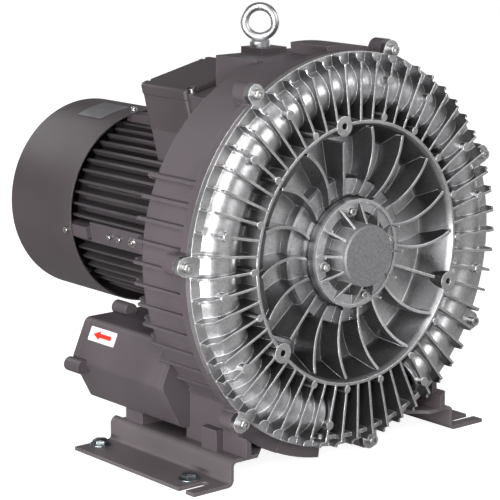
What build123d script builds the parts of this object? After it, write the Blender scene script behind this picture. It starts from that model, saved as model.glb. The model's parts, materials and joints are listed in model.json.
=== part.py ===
from build123d import *
import os
from math import cos, radians, sin, sqrt

# A side channel blower: finned front cover, channel housing, motor behind it, silencers and foot below.
# X is to the right seen from the front, the cover faces -Y, +Z is up and z = 0 is the floor.
# y = 0 is the middle of the four foot holes. "Depths" are measured back from the rim of the cover.

# ---------------------------------------------------------------- driving dimensions, millimetres
shaft_height = 258.0
rim_y = -156.0

# clearances
seat_gap = 0.05          # between parts that are pressed or screwed together round a curve
running_gap = 0.6        # between the impeller and the faces beside it

# channel and cover
flange_radius = 240.0
cover_flange_depth = 22.0
parting_depth = 30.0
channel_radius = 200.0
channel_bore = 25.0
casting_wall = 5.0
cover_plane_depth = 36.0         # centre plane of the channel in the cover
housing_plane_depth = 64.0       # centre plane of the channel in the housing
interrupter_start = 256.0
interrupter_arc = 44.0
rim_inner_radius = 157.0
rim_outer_radius = 160.5
valley_depth = 28.0
bowl_floor_depth = 40.0
bowl_floor_outer = 137.0
bowl_wall_knee = (150.0, 14.0)
ledge_inner = 142.0              # raised pads between the vanes on the left
ledge_depth = 11.0
ledge_first_angle = 126.0
ledge_arc = 78.0
shelf_radius = 90.7
shelf_depth = 26.0
shelf_chamfer = 3.0
hub_radius = 65.6
hub_face_depth = 18.0
bowl_back_depth = 45.0
fin_count = 56
fin_thickness = 3.0
fin_tip_radius = 239.0
fin_corner = 9.0
vane_count = 18
vane_thickness = 3.5
vane_inner_radius = 71.0
vane_inner_depth = 15.0
straight_vane_end = 138.0
boss_circle_radius = 158.5
boss_radius = 12.0
boss_thread_radius = 4.0
boss_thread_length = 24.0
stud_circle_radius = 165.0
stud_radius = 4.5
pin_circle_radius = 209.0
pin_radius = 5.5
lug_count = 7
lug_first_angle = 22.5
lug_circle_radius = 247.0
lug_radius = 11.5
cover_bolt_radius = 4.0

# bearing cap
cap_disc_radius = 37.6
cap_disc_depth = -16.0
cap_ring_depth = 5.0
cap_pad_depth = 6.0
cap_rib_count = 12
cap_rib_first_angle = 26.0
cap_bolt_circle = 53.0
cap_bolt_radius = 3.0
cap_bolt_first_angle = 11.0

# housing
drum_radius = 230.0
drum_back_depth = 128.0
housing_flange_back = 42.0
back_wall_front = 60.0
back_wall_thickness = 8.0
neck_radius = 112.0
neck_back_depth = 140.0
rib_top_radius = 234.5
rib_inner_radius = 203.0
rib_back_depth = 149.0
rib_corner = 12.0
rib_thickness = 3.6
console_half_width = 60.0
console_top = 225.0              # above the shaft axis
console_back_depth = 198.0
duct_top = 196.0                 # the part in line with the terminal box
eye_pad_half_width = 20.0
eye_pad_height = 8.0
leg_x = 160.0
leg_wall = 8.0
leg_front_depth = 15.0
leg_pad_x = 166.0
leg_pad_depth = 71.0
leg_pad_height = 26.0
sump_radius = 256.0
sump_back_depth = 60.0
port_angle = 38.0                # each side of straight down
port_hole_radius = 22.0
port_flange_thickness = 8.0

# silencers
silencer_inner_x = 70.0
silencer_edge_x = 207.0
silencer_shoulder_x = 185.0
silencer_heel_x = 178.0
silencer_top = -105.0            # all below the shaft axis
silencer_edge = -155.0
silencer_bottom = -210.0
silencer_pad_x = 158.0
silencer_pad_depth = 219.0
silencer_pad_width = 34.0
silencer_boss_length = 22.0
silencer_back_depth = 297.0
silencer_end_thickness = 8.0
silencer_wall = 5.0
foam_thickness = 12.0
port_x = 136.0
port_z = -158.0
port_thread_radius = 28.5
port_boss_radius = 38.0

# foot bracket
foot_sheet = 4.5
foot_height = 33.0
foot_web_x = 183.0
foot_edge_x = 238.0
foot_front_depth = 20.0
foot_back_depth = 258.0
foot_bend_radius = 9.0
foot_plate_back = 244.0
foot_notch_x = 110.0
foot_notch_depth = 140.0
foot_hole_x = 208.0
foot_hole_y = 89.0
foot_hole_radius = 6.5
foot_slot_depth = 42.0
foot_slot_width = 13.0
foot_slot_end_x = 200.0
foot_bolt_radius = 4.0

# motor
frame_bore = 92.0
frame_root_radius = 101.0
frame_fin_radius = 117.0
frame_fin_count = 48
frame_fin_thickness = 3.2
frame_back_depth = 430.0
frame_fin_front = 150.0
stator_front_depth = 205.0
stator_length = 150.0
rotor_radius = 56.0
air_gap = 0.5
winding_overhang = 24.0
shield_thickness = 10.0
wall_bolt_circle = 96.5          # screws into the wall of the motor frame, both ends
wall_bolt_radius = 2.5
wall_bolt_first_angle = 53.0
cowl_radius = 130.0
cowl_sheet = 2.0
cowl_front_depth = 415.0
cowl_back_depth = 569.0
cowl_shoulder = 16.0
cowl_bolt_first_angle = 8.0
cowl_bolt_depth = 423.0
cowl_bolt_radius = 2.5
fan_front_depth = 462.0
fan_radius = 112.0
fan_blade_count = 8
fan_blade_length = 42.0
fan_hub_radius = 22.0
fan_hub_length = 40.0
grille_inner = 38.0
grille_outer = 104.0
grille_slot = 6.0
grille_count = 32
shaft_end_radius = 12.0

# terminal box, leaning round the motor
box_tilt = 13.4
box_half_width = 56.0
box_front_depth = 207.0
box_back_depth = 299.0
box_bottom = 142.0               # above the shaft axis, along the tilted box
box_top = 188.0
box_wall = 4.0
lid_height = 13.0
gasket_thickness = 1.5
lid_bolt_u = 45.0
lid_bolt_radius = 2.5
lid_ear_radius = 6.5
lead_hole_radius = 20.0
gland_radius = 12.5
cable_radius = 8.0

# bearings, 30 x 72 x 19
bearing_bore = 15.0
bearing_outer = 36.0
bearing_width = 19.0
ring_land = 3.5             # from the ball circle to each ring's shoulder
ball_circle = 25.5
ball_radius = 6.0
ball_count = 8
ball_clearance = 0.3
front_bearing_depth = 19.0
rear_bearing_depth = 422.0

# shaft
seal_journal_radius = 20.0
seal_radius = 26.0
seal_width = 8.0
seal_depth = 78.0
rotor_seat_radius = 22.0
shoulder_depth = 74.0
rotor_end = 380.0
shaft_bolt_radius = 5.0
shaft_washer_thickness = 4.0
key_depth = 3.5
impeller_key_width = 8.0
impeller_key_front = 49.0
impeller_key_length = 22.0
fan_key_width = 6.0
fan_key_front = 466.0
fan_key_length = 26.0

# impeller
impeller_radius = 223.5
impeller_ring_radius = 172.0
impeller_hub_radius = 36.0
impeller_blade_count = 52
impeller_blade_thickness = 2.2

# lifting eye
eye_ring_radius = 18.7
eye_wire_radius = 5.2
eye_centre_height = 30.0         # above its pad
eye_collar_radius = 12.5
eye_collar_height = 8.0
eye_turn = 40.0
eye_bolt_radius = 6.0
eye_shank = 20.0

# small pieces on the motor
plate_front_depth = 446.0
plate_length = 55.0
earth_pad_angle = 188.0
earth_pad_radius = 120.0
earth_bolt_radius = 2.5
earth_pad_depths = (275.0, 385.0)
earth_screw_depths = (294.0, 320.0, 341.0)

os.makedirs("parts", exist_ok=True)
axis_line = Axis((0, rim_y, shaft_height), (0, -1, 0))


def save(piece, name):
    """Label a finished piece and write it."""
    piece.label = name
    export_step(piece, "parts/" + name + ".step")
    print(name, round(piece.volume / 1000.0, 1), "cm3")


def meridian(angle=0.0):
    """Radius along x, depth along y, turned round the shaft."""
    a = radians(angle)
    return Plane(origin=(0, rim_y, shaft_height), x_dir=(cos(a), 0, sin(a)), z_dir=(-sin(a), 0, cos(a)))


def face(depth):
    """Seen from the front at a depth behind the rim, with its normal to the front."""
    return Plane(origin=(0, rim_y + depth, shaft_height), x_dir=(1, 0, 0), z_dir=(0, -1, 0))


def tilted(depth):
    """The same, with its axes along and across the leaning terminal box."""
    t = radians(box_tilt)
    return Plane(origin=(0, rim_y + depth, shaft_height), x_dir=(cos(t), 0, sin(t)), z_dir=(0, -1, 0))


def box_plane(height):
    """Across the terminal box, at a height over the shaft axis."""
    t = radians(box_tilt)
    origin = (-height * sin(t), rim_y, shaft_height + height * cos(t))
    return Plane(origin=origin, x_dir=(cos(t), 0, sin(t)), z_dir=(-sin(t), 0, cos(t)))


def box_side(distance):
    """Along the side of the terminal box that faces +X, local x to the rear and local y up the box."""
    t = radians(box_tilt)
    origin = (distance * cos(t), rim_y, shaft_height + distance * sin(t))
    return Plane(origin=origin, x_dir=(0, 1, 0), z_dir=(cos(t), 0, sin(t)))


def back_face(depth):
    """Seen from behind at a depth, with its normal to the rear; local y points down."""
    return Plane(origin=(0, rim_y + depth, shaft_height), x_dir=(1, 0, 0), z_dir=(0, 1, 0))


def outward(angle, depth, radius):
    """Touching a cylinder round the shaft at an angle and a depth, with its normal outward."""
    a = radians(angle)
    origin = (radius * cos(a), rim_y + depth, shaft_height + radius * sin(a))
    return Plane(origin=origin, x_dir=(0, 1, 0), z_dir=(cos(a), 0, sin(a)))


def at_angle(radius, angle):
    return (radius * cos(radians(angle)), radius * sin(radians(angle)))


def cap_screw(bolt_radius, length):
    """A socket head screw, its head on z = 0 and its shank below."""
    with BuildPart() as screw:
        with BuildSketch(Plane.XY):
            Circle(1.6 * bolt_radius)
        extrude(amount=2 * bolt_radius)
        chamfer(screw.edges().group_by(Axis.Z)[-1], 0.2 * bolt_radius)
        with BuildSketch(Plane.XY.offset(2 * bolt_radius)):
            RegularPolygon(0.85 * bolt_radius, 6)
        extrude(amount=-bolt_radius, mode=Mode.SUBTRACT)
        with BuildSketch(Plane.XY):
            Circle(bolt_radius - seat_gap)
        extrude(amount=-length)
    return screw.part


# ---------------------------------------------------------------- front cover
cover_skin = channel_bore + casting_wall
fin_pitch = 360 / fin_count
cavity_edge = channel_radius + sqrt(channel_bore ** 2 - (cover_plane_depth - parting_depth) ** 2)

with BuildPart() as fin:
    with BuildSketch(Plane.XZ) as fin_profile:
        with BuildLine():
            Polyline((fin_tip_radius - fin_corner, 0), (rim_outer_radius - 1, 0),
                     (rim_outer_radius - 1, -valley_depth - 1),
                     (flange_radius - 2, -parting_depth + 4), (fin_tip_radius, -cover_flange_depth),
                     (fin_tip_radius, -fin_corner))
            RadiusArc((fin_tip_radius, -fin_corner), (fin_tip_radius - fin_corner, 0),
                      fin_corner, short_sagitta=True)
        make_face()
    extrude(amount=fin_thickness / 2, both=True)

with BuildPart() as vanes:
    with BuildSketch(face(0)):
        for step in range(vane_count):
            angle = 3 + step * 360 / vane_count
            with BuildLine():
                if step % 6 == 5:
                    Line(at_angle(vane_inner_radius - 4, angle - 3), at_angle(straight_vane_end, angle - 3))
                else:
                    ThreePointArc(at_angle(vane_inner_radius - 4, angle - 2), at_angle(112, angle - 6),
                                  at_angle(rim_inner_radius - 5, angle))
            trace(line_width=vane_thickness)
    extrude(amount=-bowl_floor_depth - 2)
    with BuildSketch(meridian()):
        with BuildLine():
            Polyline((vane_inner_radius - 6, vane_inner_depth + 9), (vane_inner_radius, vane_inner_depth),
                     (rim_inner_radius, 0), (rim_inner_radius, bowl_floor_depth + 3),
                     (vane_inner_radius - 6, bowl_floor_depth + 3), close=True)
        make_face()
    revolve(axis=axis_line, mode=Mode.INTERSECT)

with BuildPart() as front_cover:
    # bowl, hub and flange
    with BuildSketch(meridian()):
        with BuildLine():
            Polyline((hub_radius, hub_face_depth), (hub_radius, shelf_depth - shelf_chamfer),
                     (hub_radius + shelf_chamfer, shelf_depth), (shelf_radius - shelf_chamfer, shelf_depth),
                     (shelf_radius, shelf_depth + shelf_chamfer),
                     (shelf_radius + 1, bowl_floor_depth), (bowl_floor_outer, bowl_floor_depth), bowl_wall_knee,
                     (rim_inner_radius, 0), (rim_outer_radius, 0), (rim_outer_radius + 2, valley_depth),
                     (channel_radius - channel_bore, valley_depth),
                     (channel_radius - channel_bore, cover_plane_depth),
                     (bowl_floor_outer + 14, cover_plane_depth),
                     (bowl_floor_outer + 5, bowl_back_depth), (shelf_radius - 4, bowl_back_depth),
                     (shelf_radius - 5, shelf_depth + 7), (bearing_outer + 16, shelf_depth + 7),
                     (bearing_outer + 12, bowl_back_depth), (seal_radius - 2, bowl_back_depth),
                     (seal_radius - 2, front_bearing_depth + bearing_width),
                     (bearing_outer, front_bearing_depth + bearing_width), (bearing_outer, hub_face_depth),
                     close=True)
        make_face()
    revolve(axis=axis_line)
    with BuildSketch(meridian()):
        with BuildLine():
            Polyline((cavity_edge, cover_flange_depth), (flange_radius, cover_flange_depth),
                     (flange_radius, parting_depth), (cavity_edge, parting_depth), close=True)
        make_face()
    revolve(axis=axis_line)
    # round channel, and the flat interrupter with its lip between the two ports
    with BuildSketch(meridian(interrupter_start + interrupter_arc)):
        with Locations((channel_radius, cover_plane_depth)):
            Circle(cover_skin)
            Circle(channel_bore, mode=Mode.SUBTRACT)
        with Locations((channel_radius, cover_plane_depth + cover_skin)):
            Rectangle(2 * cover_skin + 2, 2 * cover_skin, mode=Mode.SUBTRACT)
        with Locations((channel_radius + cover_skin, parting_depth + cover_skin)):
            Rectangle(cover_skin, 2 * cover_skin, mode=Mode.SUBTRACT)
    revolve(axis=axis_line, revolution_arc=360 - interrupter_arc)
    with BuildSketch(meridian(interrupter_start)):
        with BuildLine():
            lip = channel_radius + channel_bore - 2
            Polyline((channel_radius - channel_bore, valley_depth + 1), (lip, valley_depth + 1), (lip, 10),
                     (lip + casting_wall, 10), (lip + casting_wall, parting_depth),
                     (cavity_edge, parting_depth),
                     (cavity_edge, cover_plane_depth), (channel_radius - channel_bore, cover_plane_depth),
                     close=True)
        make_face()
    revolve(axis=axis_line, revolution_arc=interrupter_arc)
    # fins, vanes, pin bosses and studs
    with Locations(face(0)):
        with PolarLocations(0, fin_count):
            add(fin.part)
    add(vanes.part)
    with BuildSketch(meridian(ledge_first_angle)):
        with BuildLine():
            Polyline((ledge_inner, ledge_depth), (rim_inner_radius - 4, ledge_depth - 2), (rim_inner_radius, 2),
                     (rim_inner_radius + 2, bowl_floor_depth - 5), (ledge_inner - 3, bowl_floor_depth + 3),
                     close=True)
        make_face()
    revolve(axis=axis_line, revolution_arc=ledge_arc)
    stud_fins = list(range(0, 13, 3)) + [18] + list(range(22, 32, 3)) + list(range(38, 51, 3))
    with BuildSketch(face(-1)):
        for index in stud_fins:
            with Locations(at_angle(stud_circle_radius, index * fin_pitch)):
                Circle(stud_radius)
    extrude(amount=-valley_depth - 2)
    pin_fins = [2, 5, 9, 12, 19, 22, 26, 29, 33, 40, 47, 54]
    with BuildSketch(face(-1)):
        for index in pin_fins:
            with Locations(at_angle(pin_circle_radius, index * fin_pitch)):
                Circle(pin_radius)
    extrude(amount=-(cover_plane_depth - cover_skin) - 7)
    # three threaded bosses on the rim
    with BuildSketch(face(-1.5)):
        with PolarLocations(boss_circle_radius, 3, start_angle=100):
            Circle(boss_radius)
    extrude(amount=-cover_plane_depth - 1.5)
    # lugs for the cover screws
    with BuildSketch(face(cover_flange_depth)):
        with PolarLocations(lug_circle_radius, lug_count, start_angle=lug_first_angle):
            Circle(lug_radius)
            with Locations((-lug_radius, 0)):
                Rectangle(2 * lug_radius, 2 * lug_radius)
    extrude(amount=-(parting_depth - cover_flange_depth))
    # the screw holes, threaded holes and the clear space behind the cover
    with BuildSketch(face(-1.5)):
        with PolarLocations(boss_circle_radius, 3, start_angle=100):
            Circle(boss_thread_radius)
    extrude(amount=-boss_thread_length, mode=Mode.SUBTRACT)
    with BuildSketch(face(0)):
        with PolarLocations(lug_circle_radius, lug_count, start_angle=lug_first_angle):
            Circle(cover_bolt_radius)
    extrude(amount=-parting_depth, mode=Mode.SUBTRACT)
    with BuildSketch(face(hub_face_depth)):
        with PolarLocations(cap_bolt_circle, 4, start_angle=cap_bolt_first_angle):
            Circle(cap_bolt_radius)
    extrude(amount=-13, mode=Mode.SUBTRACT)
save(front_cover.part, "front_cover")

# ---------------------------------------------------------------- bearing cap and its screws
with BuildPart() as bearing_cap:
    with BuildSketch(meridian()):
        with BuildLine():
            Polyline((0, cap_disc_depth), (cap_disc_radius - 1.5, cap_disc_depth),
                     (cap_disc_radius, cap_disc_depth + 1.5),
                     (cap_disc_radius + 1, 13), (49, 13), (51, 8), (62, 8), (62, cap_ring_depth),
                     (hub_radius, cap_ring_depth), (hub_radius, hub_face_depth),
                     (bearing_outer - seat_gap, hub_face_depth),
                     (bearing_outer - seat_gap, front_bearing_depth),
                     (bearing_outer - 5, front_bearing_depth), (bearing_outer - 8, hub_face_depth - 4),
                     (bearing_outer - 8, -8), (0, -8), close=True)
        make_face()
    revolve(axis=axis_line)
    with BuildSketch(face(cap_disc_depth + 7)):
        with PolarLocations(50, cap_rib_count, start_angle=cap_rib_first_angle):
            Rectangle(26, 2.8)
    extrude(amount=-(15 - cap_disc_depth - 7))
    with BuildSketch(meridian()):
        with BuildLine():
            Polyline((cap_disc_radius + 1, cap_disc_depth - 1), (cap_disc_radius + 1, cap_disc_depth + 7),
                     (62, cap_ring_depth), (62, cap_disc_depth - 1), close=True)
        make_face()
    revolve(axis=axis_line, mode=Mode.SUBTRACT)
    with BuildSketch(face(cap_pad_depth)):
        with PolarLocations(cap_bolt_circle, 4, start_angle=cap_bolt_first_angle):
            Circle(6.5)
    extrude(amount=-8)
    with BuildSketch(face(0)):
        with PolarLocations(cap_bolt_circle, 4, start_angle=cap_bolt_first_angle):
            Circle(cap_bolt_radius)
    extrude(amount=-hub_face_depth - 1, mode=Mode.SUBTRACT)
save(bearing_cap.part, "bearing_cap")

cap_screw_part = cap_screw(cap_bolt_radius, 20)
with BuildPart() as cap_screws:
    with Locations(face(cap_pad_depth)):
        with PolarLocations(cap_bolt_circle, 4, start_angle=cap_bolt_first_angle):
            add(cap_screw_part)
save(cap_screws.part, "cap_screws")

cover_screw_part = cap_screw(cover_bolt_radius, 19)
with BuildPart() as cover_screws:
    with Locations(face(cover_flange_depth)):
        with PolarLocations(lug_circle_radius, lug_count, start_angle=lug_first_angle):
            add(cover_screw_part)
save(cover_screws.part, "cover_screws")

# ---------------------------------------------------------------- channel housing
silencer_outline = [(silencer_inner_x, silencer_top), (silencer_shoulder_x, silencer_top),
                    (silencer_edge_x, silencer_edge), (silencer_heel_x, silencer_bottom),
                    (silencer_inner_x, silencer_bottom)]


def silencer_face(plane, inset, side):
    """The section of one silencer, seen from the front; side is -1 left, +1 right."""
    with BuildSketch(plane) as section:
        with BuildLine():
            Polyline([(side * x, z) for x, z in silencer_outline], close=True)
        make_face()
        fillet(section.vertices(), 10)
        if inset:
            offset(amount=-inset, kind=Kind.INTERSECTION)
    return section.sketch


housing_skin = channel_bore + casting_wall
skirt_inner = drum_radius - casting_wall
skin_meets_skirt = housing_plane_depth + sqrt(housing_skin ** 2 - (skirt_inner - channel_radius) ** 2)
back_wall_back = back_wall_front + back_wall_thickness
rib_corner_radius = rib_top_radius - rib_corner
skin_meets_wall = channel_radius - sqrt(housing_skin ** 2 - (back_wall_back - housing_plane_depth) ** 2)

with BuildPart() as rib:
    with BuildSketch(Plane.XZ):
        with BuildLine():
            Polyline((rib_corner_radius, -rib_back_depth), (rib_inner_radius, -rib_back_depth),
                     (rib_inner_radius, -housing_plane_depth - housing_skin + 3),
                     (skirt_inner + 1, -housing_plane_depth - 18), (drum_radius - 2, -housing_flange_back + 2),
                     (rib_top_radius, -housing_flange_back + 2), (rib_top_radius, -rib_back_depth + rib_corner))
            RadiusArc((rib_corner_radius, -rib_back_depth), (rib_top_radius, -rib_back_depth + rib_corner),
                      rib_corner, short_sagitta=True)
        make_face()
    extrude(amount=rib_thickness / 2, both=True)

with BuildPart() as drum_space:
    with BuildSketch(face(drum_back_depth + 1)):
        Circle(drum_radius)
    extrude(amount=40)

with BuildPart() as skirt_space:
    with BuildSketch(face(drum_back_depth + 1)):
        Circle(skirt_inner)
    extrude(amount=40)

with BuildPart() as channel_housing:
    with BuildSketch(meridian()):
        with BuildLine():
            Polyline((channel_radius + channel_bore, housing_plane_depth),
                     (channel_radius + channel_bore, parting_depth),
                     (flange_radius, parting_depth), (flange_radius, housing_flange_back),
                     (drum_radius, housing_flange_back), (drum_radius, drum_back_depth - 3),
                     (drum_radius - 3, drum_back_depth), (skirt_inner, drum_back_depth),
                     (skirt_inner, skin_meets_skirt))
            ThreePointArc((skirt_inner, skin_meets_skirt), (channel_radius, housing_plane_depth + housing_skin),
                          (skin_meets_wall, back_wall_back))
            Polyline((skin_meets_wall, back_wall_back), (neck_radius, back_wall_back),
                     (neck_radius, neck_back_depth),
                     (frame_bore - seat_gap, neck_back_depth), (frame_bore - seat_gap, neck_back_depth + 5),
                     (frame_bore - 5, neck_back_depth + 5), (frame_bore - 5, back_wall_back),
                     (46, back_wall_back),
                     (seal_radius + 8, seal_depth + seal_width + 3),
                     (seal_journal_radius + 1, seal_depth + seal_width + 3),
                     (seal_journal_radius + 1, seal_depth + seal_width), (seal_radius, seal_depth + seal_width),
                     (seal_radius, seal_depth - 2), (38, seal_depth - 2), (38, back_wall_front),
                     (channel_radius - channel_bore - 13, back_wall_front),
                     (channel_radius - channel_bore - 13, housing_plane_depth),
                     (channel_radius - channel_bore, housing_plane_depth))
            ThreePointArc((channel_radius - channel_bore, housing_plane_depth),
                          (channel_radius, housing_plane_depth + channel_bore),
                          (channel_radius + channel_bore, housing_plane_depth))
        make_face()
    revolve(axis=axis_line)
    # the interrupter fills the channel between the ports
    with BuildSketch(meridian(interrupter_start)):
        with Locations((channel_radius, housing_plane_depth + channel_bore / 2)):
            Rectangle(2 * channel_bore, channel_bore)
    revolve(axis=axis_line, revolution_arc=interrupter_arc)
    # screw lugs
    with BuildSketch(face(parting_depth)):
        with PolarLocations(lug_circle_radius, lug_count, start_angle=lug_first_angle):
            Circle(lug_radius + 1)
            with Locations((-lug_radius, 0)):
                Rectangle(lug_radius, 2 * lug_radius + 2)
    extrude(amount=-(housing_flange_back + 8 - parting_depth))
    # low cooling ribs down both sides
    with Locations(face(0)):
        for first_fin in (-7, 24):
            with PolarLocations(0, 12, start_angle=first_fin * fin_pitch, angular_range=12 * fin_pitch):
                add(rib.part)
    # raised shoulder at the top right and the sump below the ports
    with BuildSketch(meridian(94)):
        with Locations((drum_radius + 6, (housing_flange_back + 108) / 2)):
            Rectangle(20, 108 - housing_flange_back)
    revolve(axis=axis_line, revolution_arc=-34)
    with BuildSketch(meridian(246)):
        with Locations((sump_radius - 16, (parting_depth + 2 + sump_back_depth) / 2)):
            Rectangle(32, sump_back_depth - parting_depth - 2)
    revolve(axis=axis_line, revolution_arc=16)
    # console that carries the eye and runs back to the terminal box
    console_foot = neck_radius - 12
    with BuildSketch(face(drum_back_depth - 8)):
        with Locations((0, (console_top + console_foot) / 2)):
            Rectangle(2 * console_half_width, console_top - console_foot)
    extrude(amount=-(console_back_depth - drum_back_depth + 8))
    with BuildSketch(tilted(drum_back_depth - 8)):
        with Locations((0, (duct_top + console_foot) / 2)):
            Rectangle(2 * box_half_width, duct_top - console_foot)
    extrude(amount=-(console_back_depth - drum_back_depth + 8))
    with BuildSketch(face(console_back_depth)):
        with Locations((0, console_top)):
            Rectangle(2 * eye_pad_half_width, 2 * eye_pad_height)
    extrude(amount=2 * eye_pad_half_width)
    with BuildSketch(face(console_back_depth)):
        pocket_inner = eye_bolt_radius + 8
        pocket_outer = console_half_width - 8
        for side in (-1, 1):
            with Locations((side * (pocket_inner + pocket_outer) / 2, (console_top - 8 + console_foot) / 2)):
                Rectangle(pocket_outer - pocket_inner, console_top - 8 - console_foot)
    extrude(amount=console_back_depth - neck_back_depth, mode=Mode.SUBTRACT)
    with BuildSketch(face(neck_back_depth)):
        Circle(frame_fin_radius + 1.5)
    extrude(amount=-(console_back_depth - neck_back_depth + 1), mode=Mode.SUBTRACT)
    # port boxes to the silencers, with the two ports into the channel
    for side in (-1, 1):
        outline = silencer_face(face(drum_back_depth), 0, side)
        add(extrude(outline, amount=port_flange_thickness, mode=Mode.PRIVATE))
        port_box = extrude(outline, amount=30, mode=Mode.PRIVATE)
        add(port_box & drum_space.part)
    for side in (-1, 1):
        room_outline = silencer_face(face(drum_back_depth + 1), silencer_wall, side)
        room = extrude(room_outline, amount=26, mode=Mode.PRIVATE)
        add(room & skirt_space.part, mode=Mode.SUBTRACT)
        add(extrude(silencer_face(face(drum_back_depth), -seat_gap, side), amount=-30, mode=Mode.PRIVATE),
            mode=Mode.SUBTRACT)
        port = at_angle(channel_radius, -90 + side * port_angle)
        with BuildSketch(face(housing_plane_depth + 8)):
            with Locations(port):
                Circle(port_hole_radius)
        extrude(amount=-(drum_back_depth - housing_plane_depth - 30), mode=Mode.SUBTRACT)
    # legs and pads on the foot bracket
    plate_top = foot_height - shaft_height
    with BuildSketch(face(leg_front_depth)):
        for side in (-1, 1):
            with Locations((side * leg_x, (plate_top + silencer_top - 40) / 2)):
                Rectangle(leg_wall, silencer_top - 40 - plate_top)
    extrude(amount=-(drum_back_depth - leg_front_depth))
    with BuildSketch(face(leg_pad_depth - 14)):
        for side in (-1, 1):
            with Locations((side * leg_pad_x, plate_top + leg_pad_height / 2)):
                Rectangle(18, leg_pad_height)
    extrude(amount=-28)
    # clear space for the impeller, the cover and the legs' open front
    with BuildSketch(meridian()):
        with BuildLine():
            Polyline((0, 0), (flange_radius + 20, 0), (flange_radius + 20, parting_depth),
                     (channel_radius + channel_bore, parting_depth),
                     (channel_radius + channel_bore, housing_plane_depth),
                     (channel_radius - channel_bore - 13, housing_plane_depth),
                     (channel_radius - channel_bore - 13, back_wall_front), (0, back_wall_front), close=True)
        make_face()
    revolve(axis=axis_line, mode=Mode.SUBTRACT)
    # threaded holes: cover screws and the lifting eye
    with BuildSketch(face(parting_depth)):
        with PolarLocations(lug_circle_radius, lug_count, start_angle=lug_first_angle):
            Circle(cover_bolt_radius)
    extrude(amount=-12, mode=Mode.SUBTRACT)
    with BuildSketch(Plane.XY.offset(shaft_height + console_top + eye_pad_height)):
        with Locations((0, rim_y + console_back_depth - eye_collar_radius)):
            Circle(eye_bolt_radius)
    extrude(amount=-eye_shank - 3, mode=Mode.SUBTRACT)
    # screws into the motor frame, their heads sunk in the wall behind the impeller
    with BuildSketch(face(back_wall_front)):
        with PolarLocations(wall_bolt_circle, 4, start_angle=wall_bolt_first_angle):
            Circle(1.6 * wall_bolt_radius + 0.5)
    extrude(amount=-2 * wall_bolt_radius - 1, mode=Mode.SUBTRACT)
    with BuildSketch(face(back_wall_front)):
        with PolarLocations(wall_bolt_circle, 4, start_angle=wall_bolt_first_angle):
            Circle(wall_bolt_radius)
    extrude(amount=-(neck_back_depth - back_wall_front), mode=Mode.SUBTRACT)
    # screws up through the foot bracket
    with BuildSketch(Plane.XY.offset(foot_height)):
        with Locations([(side * leg_pad_x, rim_y + leg_pad_depth) for side in (-1, 1)]):
            Circle(foot_bolt_radius)
    extrude(amount=leg_pad_height - 8, mode=Mode.SUBTRACT)
save(channel_housing.part, "channel_housing")

frame_bolt_part = cap_screw(wall_bolt_radius, neck_back_depth - back_wall_front + 8)
with BuildPart() as frame_bolts:
    with Locations(face(back_wall_front + 2 * wall_bolt_radius + 1)):
        with PolarLocations(wall_bolt_circle, 4, start_angle=wall_bolt_first_angle):
            add(frame_bolt_part)
save(frame_bolts.part, "frame_bolts")


# ---------------------------------------------------------------- silencers
def make_silencer(side):
    """One silencer box: open at the front to the housing, flanged at the back for its end plate."""
    depth = silencer_back_depth - drum_back_depth
    with BuildPart() as silencer:
        add(extrude(silencer_face(face(drum_back_depth), 0, side), amount=-depth, mode=Mode.PRIVATE))
        add(extrude(silencer_face(face(drum_back_depth), silencer_wall, side), amount=-depth, mode=Mode.PRIVATE),
            mode=Mode.SUBTRACT)
        with BuildSketch(face(silencer_back_depth)):
            with Locations([(side * x, z) for x, z in end_bolts]):
                Circle(9)
        extrude(amount=silencer_boss_length)
        add(extrude(silencer_face(face(drum_back_depth), silencer_wall, side), amount=-depth, mode=Mode.PRIVATE),
            mode=Mode.SUBTRACT)
        with BuildSketch(face(silencer_back_depth)):
            with Locations([(side * x, z) for x, z in end_bolts]):
                Circle(3)
        extrude(amount=14, mode=Mode.SUBTRACT)
        # pads that stand on the foot bracket
        with BuildSketch(Plane.XY.offset(foot_height)):
            with Locations((side * silencer_pad_x, rim_y + silencer_pad_depth)):
                Rectangle(silencer_pad_width, silencer_pad_width)
        extrude(amount=shaft_height + silencer_bottom - foot_height + 1)
        with BuildSketch(Plane.XY.offset(foot_height)):
            with Locations((side * silencer_pad_x, rim_y + silencer_pad_depth)):
                Circle(foot_bolt_radius)
        extrude(amount=shaft_height + silencer_bottom - foot_height - 2, mode=Mode.SUBTRACT)
    return silencer.part


def make_foam(side):
    """Sound-absorbing sleeve inside a silencer."""
    front = drum_back_depth + 6
    depth = silencer_back_depth - 14 - front
    with BuildPart() as foam:
        add(extrude(silencer_face(face(front), silencer_wall + 0.3, side), amount=-depth, mode=Mode.PRIVATE))
        add(extrude(silencer_face(face(front), silencer_wall + foam_thickness, side), amount=-depth,
                    mode=Mode.PRIVATE), mode=Mode.SUBTRACT)
    return foam.part


def make_silencer_end(side):
    """End plate with the threaded connection for the pipe."""
    with BuildPart() as end:
        add(extrude(silencer_face(face(silencer_back_depth), 0, side), amount=-silencer_end_thickness,
                    mode=Mode.PRIVATE))
        with BuildSketch(face(silencer_back_depth)):
            with Locations([(side * x, z) for x, z in end_bolts]):
                Circle(9)
        extrude(amount=-silencer_end_thickness)
        with BuildSketch(face(silencer_back_depth + 28)):
            with Locations((side * port_x, port_z)):
                Circle(port_boss_radius)
        extrude(amount=28)
        with BuildSketch(face(silencer_back_depth + 28)):
            with Locations((side * port_x, port_z)):
                Circle(port_thread_radius)
        extrude(amount=28, mode=Mode.SUBTRACT)
        with BuildSketch(face(silencer_back_depth)):
            with Locations([(side * x, z) for x, z in end_bolts]):
                Circle(3)
        extrude(amount=-silencer_end_thickness, mode=Mode.SUBTRACT)
    return end.part


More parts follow.
